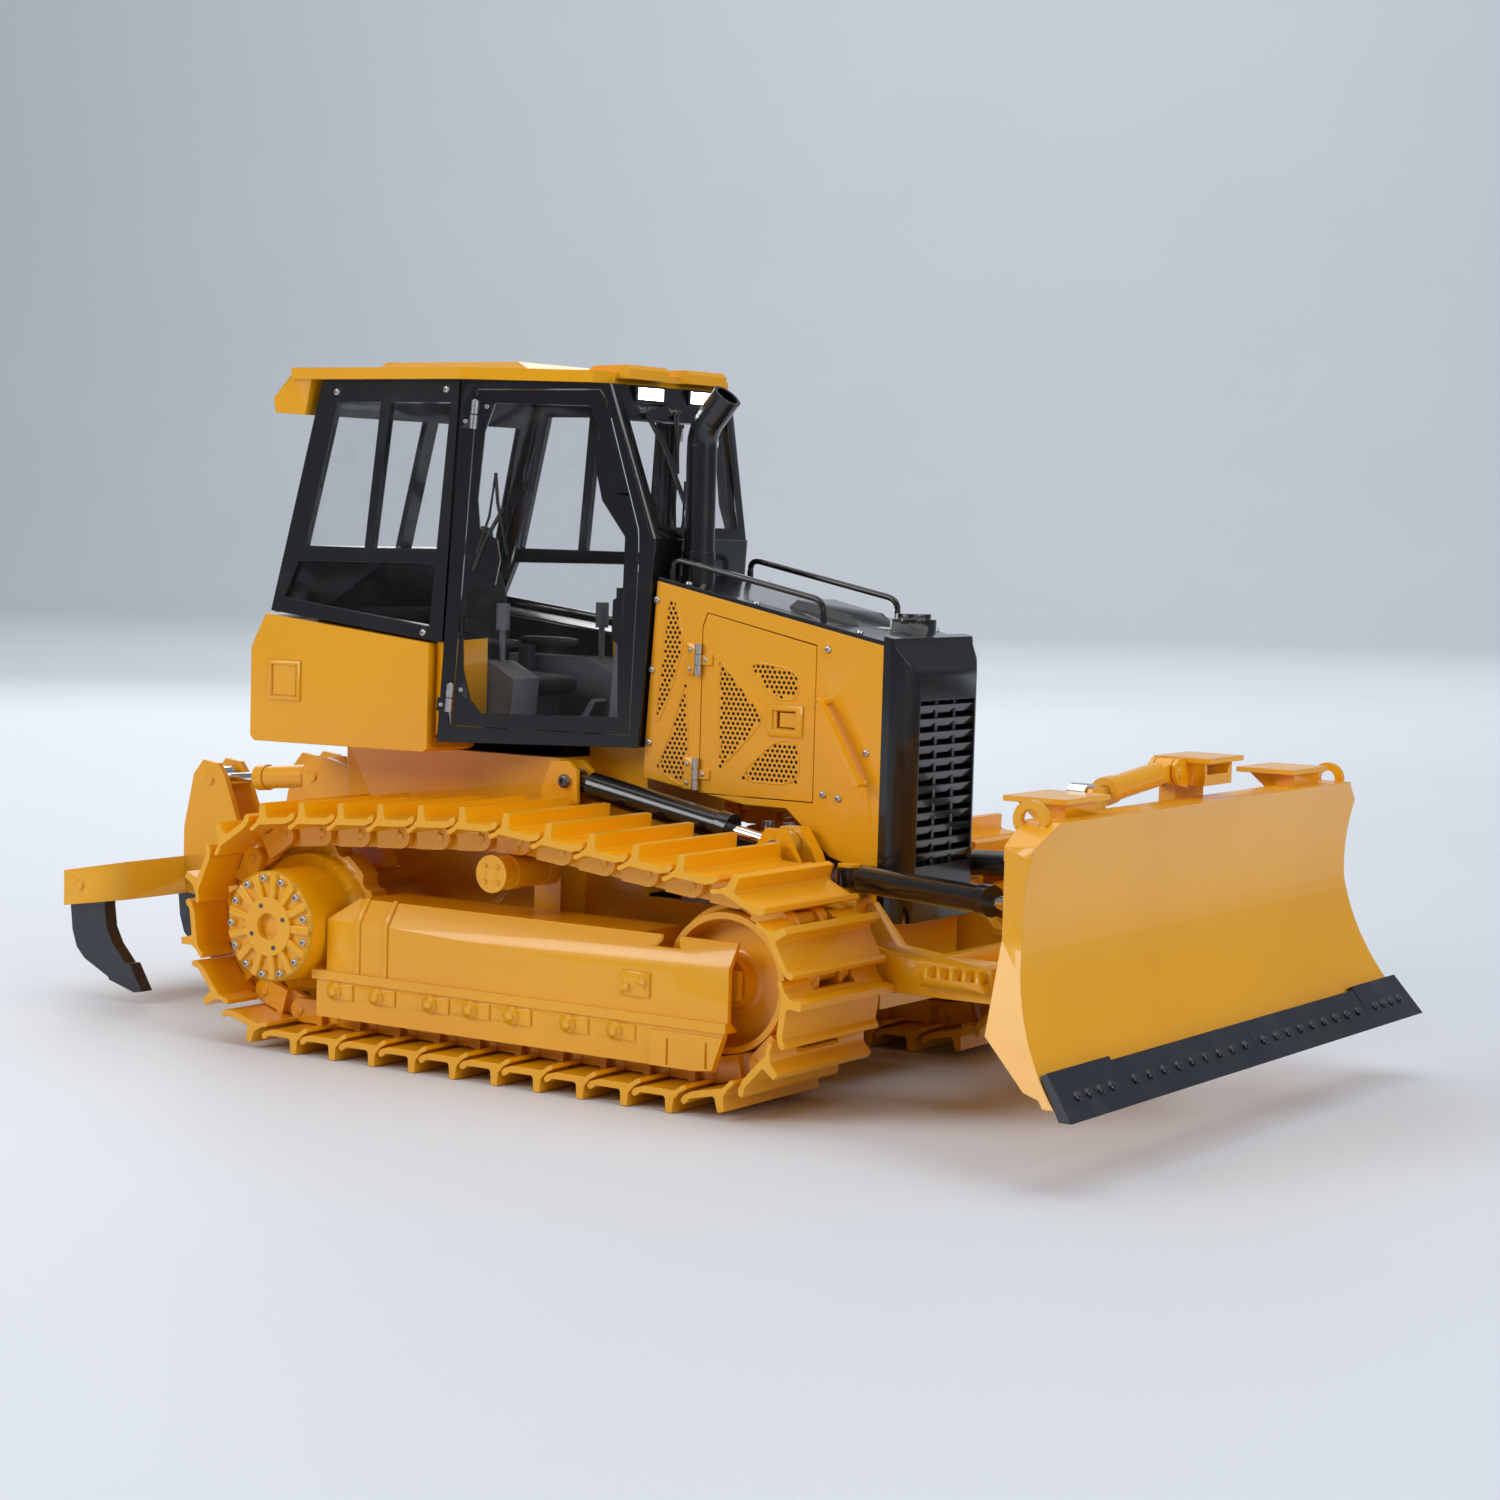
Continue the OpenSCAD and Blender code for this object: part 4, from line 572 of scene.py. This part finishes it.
def holes(outline, side, pitch=2.05, radius=0.66, lift=0.03):
    """Grids of discs in a hexagonal pattern inside an outline on a hood side."""
    xs = np.arange(0.0, 130.0, pitch)
    zs = np.arange(90.0, 180.0, pitch * math.sqrt(3) / 2)
    gx, gz = np.meshgrid(xs, zs)
    gx = gx + np.where(np.arange(len(zs)) % 2, pitch / 2, 0.0)[:, None]
    spots = np.stack([gx.ravel(), gz.ravel()], axis=1)
    spots = spots[inside(spots, shrink(outline, 1.1))]
    angle = np.linspace(0.0, 2 * math.pi, 8, endpoint=False)
    grids = []
    for x, z in spots:
        ring = np.stack([x + radius * np.cos(angle), np.full(8, side * (HOOD_Y + lift)),
                         z + radius * np.sin(angle)], axis=-1)
        middle = np.broadcast_to([x, side * (HOOD_Y + lift), z], (8, 3))
        grids.append(np.stack([middle, ring] if side < 0 else [ring, middle]))
    return grids


def rim(outline, side, radius=0.42, corner=0.28):
    """A half-sunk round bead along a closed outline whose corners are cut by a share."""
    p = np.array(outline, dtype=float)
    before, after = np.roll(p, 1, axis=0), np.roll(p, -1, axis=0)
    path = np.stack([p + corner * (before - p), p + 0.35 * corner * (before + after - 2 * p),
                     p + corner * (after - p)], axis=1).reshape(-1, 2)
    ahead = np.roll(path, -1, axis=0) - np.roll(path, 1, axis=0)
    ahead /= np.linalg.norm(ahead, axis=1, keepdims=True)
    across = np.stack([ahead[:, 1], -ahead[:, 0]], axis=1)
    angle = np.linspace(0.0, 2 * math.pi, 8, endpoint=False)
    spread = radius * np.cos(angle)[None, :, None] * across[:, None, :]
    out = HOOD_Y + 0.75 * radius * np.sin(angle)
    grid = np.empty((len(path) + 1, 8, 3))
    grid[:-1, :, 0] = path[:, None, 0] + spread[..., 0]
    grid[:-1, :, 2] = path[:, None, 1] + spread[..., 1]
    grid[:-1, :, 1] = side * out
    grid[-1] = grid[0]
    return grid


PANEL_FIELDS = [
    [(18.3, 171.8), (21.9, 171.2), (23.6, 162), (25.5, 156.7), (24.3, 151), (19, 134.2),
     (14.8, 125.8), (13.4, 127.2), (15.2, 141.4), (16.6, 156.3)],
    [(26.9, 142), (29, 114), (28.4, 104), (25.4, 102.8), (14.4, 108.7), (20.3, 121.3),
     (24.4, 134.5)],
]
DOOR_FIELDS = [
    [(41.2, 150), (45.3, 146.6), (60.1, 132), (60.7, 128.5), (53.6, 120.8), (42.5, 110)],
    [(52.2, 150.6), (75.9, 148), (76.3, 137.4), (66, 136.8)],
    [(66.5, 122.4), (76.7, 122.6), (77.3, 106.4), (49.7, 106.7)],
]
for name, side in SIDES.items():
    for label, fields, body in (("panel", PANEL_FIELDS, "chassis"),
                                ("door", DOOR_FIELDS, f"hood_door_{name}_body")):
        dots = [grid for field in fields for grid in holes(field, side)]
        # The discs' dark colour is painted shade for the hood's inside seen through the holes.
        piece(f"hood_{label}_{name}_holes", grid_mesh("holes", dots, material=HOLE_PAINTED_SHADE), body,
              "black_paint")
        rims = [rim(field, side) for field in fields]
        piece(f"hood_{label}_{name}_rims", grid_mesh("rims", rims, material=YELLOW), body,
              "yellow_paint")
        print(name, label, "holes:", len(dots))

# %% [markdown]
# ## Tubes and wires
# Rails, wiper arms and the welts of the seat are round bars that follow a path. One function
# carries a circle along a path of points and closes its ends.

# %% Tube
def tube(path, radius, columns=12):
    """Circle of `radius` carried along a path, its ends closed to points."""
    path = np.array(path, dtype=float)
    ahead = np.gradient(path, axis=0)
    ahead /= np.linalg.norm(ahead, axis=1, keepdims=True)
    side = np.cross(ahead, [0.0, 0.0, 1.0])
    flat = np.linalg.norm(side, axis=1) < 0.2
    side[flat] = np.cross(ahead[flat], [0.0, 1.0, 0.0])
    for i in range(1, len(side)):
        side[i] -= ahead[i] * np.dot(side[i], ahead[i])
        if np.dot(side[i], side[i - 1]) < 0:
            side[i] = -side[i]
    side /= np.linalg.norm(side, axis=1, keepdims=True)
    other = np.cross(ahead, side)
    angle = np.linspace(0.0, 2 * math.pi, columns, endpoint=False)
    ring = (np.cos(angle)[None, :, None] * side[:, None, :]
            + np.sin(angle)[None, :, None] * other[:, None, :])
    body = path[:, None, :] + radius * ring
    return np.concatenate([np.broadcast_to(path[:1, None], (1, columns, 3)), body,
                           np.broadcast_to(path[-1:, None], (1, columns, 3))])


def rounded_path(points, radius, steps=6):
    """Straight legs whose corners are bends, drawn as quadratic curves."""
    p = np.array(points, dtype=float)
    path = [p[0]]
    for a, b, c in zip(p[:-2], p[1:-1], p[2:]):
        first = b + (a - b) / np.linalg.norm(a - b) * radius
        last = b + (c - b) / np.linalg.norm(c - b) * radius
        t = np.linspace(0.0, 1.0, steps)[:, None]
        path.extend((1 - t) ** 2 * first + 2 * t * (1 - t) * b + t ** 2 * last)
    path.append(p[-1])
    return np.array(path)

# %% Hood rails
rail_tubes = []
for side in SIDES.values():
    foot_y = side * (HOOD_Y - 2.5)
    rail_tubes.append(tube(rounded_path([
        (18, foot_y, hood_line(18) + 0.4), (18, foot_y, hood_line(18) + 9.4),
        (84, foot_y, hood_line(84) + 9.4), (84, foot_y, hood_line(84) + 0.4)], 4.5), 1.18))
piece("hood_rail_tubes", grid_mesh("hood_rail_tubes", rail_tubes, material=BLACK), "chassis",
      "black_paint", "hood_rails")

# %% Door wipers
for name, side in SIDES.items():
    def at(u, z, out):
        return on_door(side, u, z, out)[0]
    arms = [tube([at(16, 216, 0.9), at(17, 205, 1.3), at(21, 186, 1.3)], 0.65, 8),
            tube([at(16, 216, 0.9), at(14, 200, 1.2), at(9.5, 186, 0.9)], 0.5, 8),
            tube([at(19, 203, 0.7), at(12, 190, 0.5), at(8.5, 180, 0.5)], 0.8, 8)]
    piece(f"door_wiper_{name}", grid_mesh("door_wiper", arms, material=RUBBER),
          f"cab_door_{name}_body", "black_paint")

# %% [markdown]
# ## Pins and bolts of the running gear
# The final drive's cover is closed by thirteen bright bolts in a ring. The pins that carry
# the lift cylinders end in round steel keepers.

# %% Running gear bolts
DRUM_BOLTS = 18.0
for name, side in SIDES.items():
    low, high = (np.array(corner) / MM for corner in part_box(f"sprocket_{name}"))
    hub_x, hub_z = 0.5 * (low[0] + high[0]), 0.5 * (low[2] + high[2])
    face_y = max(abs(low[1]), abs(high[1]))
    turn = (np.arange(13) + 0.5) * 2 * math.pi / 13
    ring = [((hub_x + DRUM_BOLTS * math.cos(a), side * (face_y - 0.4), hub_z - DRUM_BOLTS * math.sin(a)),
             (0.0, side, 0.0)) for a in turn]
    screws(f"sprocket_{name}_bolts", ring, 1.4, 1.0, f"sprocket_{name}_body")
    four = [((hub_x + 8.2 * math.cos(a), side * (face_y - 0.02), hub_z + 8.2 * math.sin(a)),
             (0.0, side, 0.0)) for a in np.arange(4) * math.pi / 2 + 0.4]
    screws(f"sprocket_{name}_cover_screws", four, 0.9, 0.5, f"sprocket_{name}_body",
           material=KEEPER)

pins = [((-13, side * 48.4, 103), (0, side, 0)) for side in SIDES.values()]
screws("lift_foot_pin_heads", pins, 2.6, 1.2, "chassis", material=KEEPER)
pins = [((80, side * 48.8, 86), (0, side, 0)) for side in SIDES.values()]
screws("lift_head_pin_heads", pins, 2.6, 1.2, "push_frame", material=KEEPER)

# %% [markdown]
# ## The driver's seat
# Vinyl cushions are crowned: each face swells in the middle and the sides pull in between the
# corners. A superellipsoid has that form. Its angles run round and over the cushion, and a
# power below one squares the corners while the faces keep a gentle crown. A welt, the sewn
# seam's cord, runs round the widest line.

# %% Cushions
def cushion(size, centre, tilt=0.0, square=0.32, columns=56, rows=25):
    """Superellipsoid: cos and sin of both angles are raised to `square`, then the sides are
    pulled in a little between the corners, and the whole is tipped about Y."""
    half = np.array(size) / 2
    over = np.linspace(-math.pi / 2, math.pi / 2, rows)[:, None]
    turn = np.linspace(0.0, 2 * math.pi, columns, endpoint=False)[None, :]

    def power(v):
        """Raises the size of v to `square` and keeps its sign."""
        return np.sign(v) * np.abs(v) ** square

    x = power(np.cos(over)) * power(np.cos(turn))
    y = power(np.cos(over)) * power(np.sin(turn))
    z = np.broadcast_to(np.sign(over) * np.abs(np.sin(over)) ** 0.55, x.shape)
    pull = 1 - 0.05 * (1 - np.abs(x * y) ** 0.5) * (1 - z ** 2)
    crown = 1 - 0.16 * (x ** 2 + y ** 2) / 2
    grid = np.stack([half[0] * x * pull, half[1] * y * pull, half[2] * z * crown], axis=-1)
    c, s = math.cos(math.radians(tilt)), math.sin(math.radians(tilt))
    turned = np.stack([c * grid[..., 0] + s * grid[..., 2], grid[..., 1],
                       -s * grid[..., 0] + c * grid[..., 2]], axis=-1)
    return turned + np.array(centre), turned[rows // 2] + np.array(centre)


def padded_piece(name, size, centre, tilt=0.0, replaced=()):
    """One cushion with its welt."""
    body, seam = cushion(size, centre, tilt)
    welt = tube(np.concatenate([seam, seam[:1]]), 0.28, 6)
    obj = piece(name, grid_mesh(name, [body], material=SEAT), "chassis", "seat_black", *replaced)
    piece(name + "_welt", grid_mesh(name + "_welt", [welt], material=RUBBER), "chassis",
          "seat_black")
    return obj


DECK = 119.0
padded_piece("seat_cushion", (36, 30, 8), (-70, 0, DECK + 16.5), 2.0, ("operator_seat",))
padded_piece("seat_back", (6.5, 28, 44), (-91.2, 0, DECK + 41), -8.0)
padded_piece("seat_headrest", (5, 16, 12.5), (-94.3, 0, DECK + 70.8), -5.0)
for name, side in SIDES.items():
    padded_piece(f"armrest_{name}", (28, 4.6, 3.6), (-72, side * 18.6, DECK + 32.2))


def block(low, high, inset=0.8):
    """A box with chamfered corners: an eight-sided outline carried up three levels."""
    (x0, y0, z0), (x1, y1, z1) = low, high
    ring = np.array([(x0 + inset, y0), (x1 - inset, y0), (x1, y0 + inset), (x1, y1 - inset),
                     (x1 - inset, y1), (x0 + inset, y1), (x0, y1 - inset), (x0, y0 + inset)])
    middle = ring.mean(axis=0)
    shrunk = middle + (ring - middle) * (1 - 2 * inset / np.ptp(ring, axis=0))
    levels = [(middle + 0 * ring, z0), (shrunk, z0), (ring, z0 + inset), (ring, z1 - inset),
              (shrunk, z1), (middle + 0 * ring, z1)]
    return np.stack([np.column_stack([r, np.full(8, z)]) for r, z in levels])


base = [block((-88, -11, DECK), (-60, 11, DECK + 12.3))]
for side in SIDES.values():
    inner, outer = sorted((side * 16.3, side * 20.9))
    base.append(block((-86, inner, DECK + 14.2), (-80, outer, DECK + 30.6)))
    inner, outer = sorted((side * 10.2, side * 16.8))
    base.append(block((-86, inner, DECK + 14.2), (-80.2, outer, DECK + 17.8), 0.5))
    base.append(tube([(-94, side * 4, DECK + 60), (-94.4, side * 4, DECK + 66)], 0.8, 8))
piece("seat_base_parts", grid_mesh("seat_base_parts", base[:1], material=GREY), "chassis",
      "seat_black")
for number, grid in enumerate(base[1:]):
    piece(f"seat_bracket_{number}", grid_mesh("seat_bracket", [grid], material=GREY), "chassis",
          "seat_black")

# %% [markdown]
# ## The camera
# A long lens from the machine's right front, just above its hood, keeps the upright lines
# upright and gives the toy the look of a full-size machine.

# %% Camera
CAMERA_YAW = 33.27


def look(place, yaw, pitch, roll, lens):
    """A camera at `place` in millimetres; its angles are in degrees and its lens in millimetres."""
    a, e, r = (math.radians(angle) for angle in (yaw, pitch, roll))
    back = Vector((math.sin(a) * math.cos(e), -math.cos(a) * math.cos(e), math.sin(e)))
    level = Vector((math.cos(a), math.sin(a), 0.0))
    up = back.cross(level)
    right = level * math.cos(r) + up * math.sin(r)
    top = up * math.cos(r) - level * math.sin(r)
    data = bpy.data.cameras.new("camera")
    data.lens = lens
    data.sensor_width = 36.0
    data.clip_start = 0.05
    camera = link(bpy.data.objects.new("camera", data))
    matrix = Matrix((right, top, back)).transposed().to_4x4()
    matrix.translation = Vector(place) * MM
    camera.matrix_world = matrix
    return camera


bpy.context.scene.camera = look((669.7, -964.1, 201.2), CAMERA_YAW, 4.25, 1.58,
                                74.18)

# %% [markdown]
# ## Floor and lights
# A pale floor curves up into a wall behind the machine, so the camera sees no horizon. Gloss
# paint shows what is around it, so the size of the soft panels matters more than their
# strength: one overhead, one at the right, one in front, one behind, and one for the wall.

# %% Floor
def floor_material():
    """Pale, matt and very slightly mottled."""
    g = Graph("pale_floor")
    tone = g.noise(3.0, 2.0)
    return g.surface(Base_Color=g.blend(tone, rgb(0.72, 0.76, 0.82), rgb(0.76, 0.80, 0.85)),
                     Roughness=0.55 + tone * 0.05)


def sweep_floor(half=6.0, rise=3.0, turn=1.5):
    """A flat floor whose height then follows a quarter circle and ends in a straight wall."""
    s = np.linspace(0.0, 1.0, 40)
    angle = s * math.pi / 2
    along = np.concatenate([[-half], half - turn + turn * np.sin(angle), [half]])
    height = np.concatenate([[0.0], turn * (1 - np.cos(angle)), [rise + turn]])
    across = np.array([-half, half])
    ax, aw = np.meshgrid(along, across, indexing="ij")
    hz, _ = np.meshgrid(height, across, indexing="ij")
    yaw = math.radians(CAMERA_YAW)
    x = -ax * math.sin(yaw) + aw * math.cos(yaw)
    y = ax * math.cos(yaw) + aw * math.sin(yaw)
    points = np.stack([x, y, hz - 0.0002], axis=-1).reshape(-1, 3)
    n = len(along)
    faces = [(2 * i, 2 * i + 1, 2 * i + 3, 2 * i + 2) for i in range(n - 1)]
    mesh = bpy.data.meshes.new("studio_floor")
    mesh.from_pydata(points, [], faces)
    mesh.materials.append(floor_material())
    mesh.polygons.foreach_set("use_smooth", np.ones(len(mesh.polygons), dtype=bool))
    return link(bpy.data.objects.new("studio_floor", mesh))


sweep_floor()

# %% Lights
def panel(name, place, target, size, watts, colour=(1.0, 1.0, 1.0)):
    """A soft rectangular light that faces its target."""
    data = bpy.data.lights.new(name, "AREA")
    data.shape = "RECTANGLE"
    data.size, data.size_y = size
    data.energy = watts
    data.color = colour
    light = link(bpy.data.objects.new(name, data))
    aim = Vector(target) - Vector(place)
    light.matrix_world = Matrix.Translation(place) @ aim.to_track_quat("-Z", "Y").to_matrix().to_4x4()
    return light


panel("overhead", (0.0, 0.2, 1.6), (0.0, 0.1, 0.1), (2.6, 1.8), 19.0)
panel("right_key", (-0.9, -1.7, 1.1), (0.0, 0.0, 0.1), (1.1, 0.8), 17.0)
panel("front_fill", (2.0, -0.5, 0.9), (0.0, 0.0, 0.1), (1.2, 0.9), 14.0, (0.97, 0.98, 1.0))
panel("rear_rim", (-1.6, 1.3, 1.1), (0.0, 0.0, 0.15), (1.6, 1.0), 9.0)
panel("wall_wash", (-0.6, 2.4, 2.6), (-2.2, 3.9, 0.8), (3.0, 1.5), 75.0)

world = bpy.data.worlds.new("pale_room")
bpy.context.scene.world = world
world.use_nodes = True
background = world.node_tree.nodes["Background"]
background.inputs["Color"].default_value = rgb(0.80, 0.86, 0.95)
background.inputs["Strength"].default_value = 0.22
bpy.context.scene.view_settings.view_transform = "Standard"
bpy.context.scene.view_settings.look = "None"
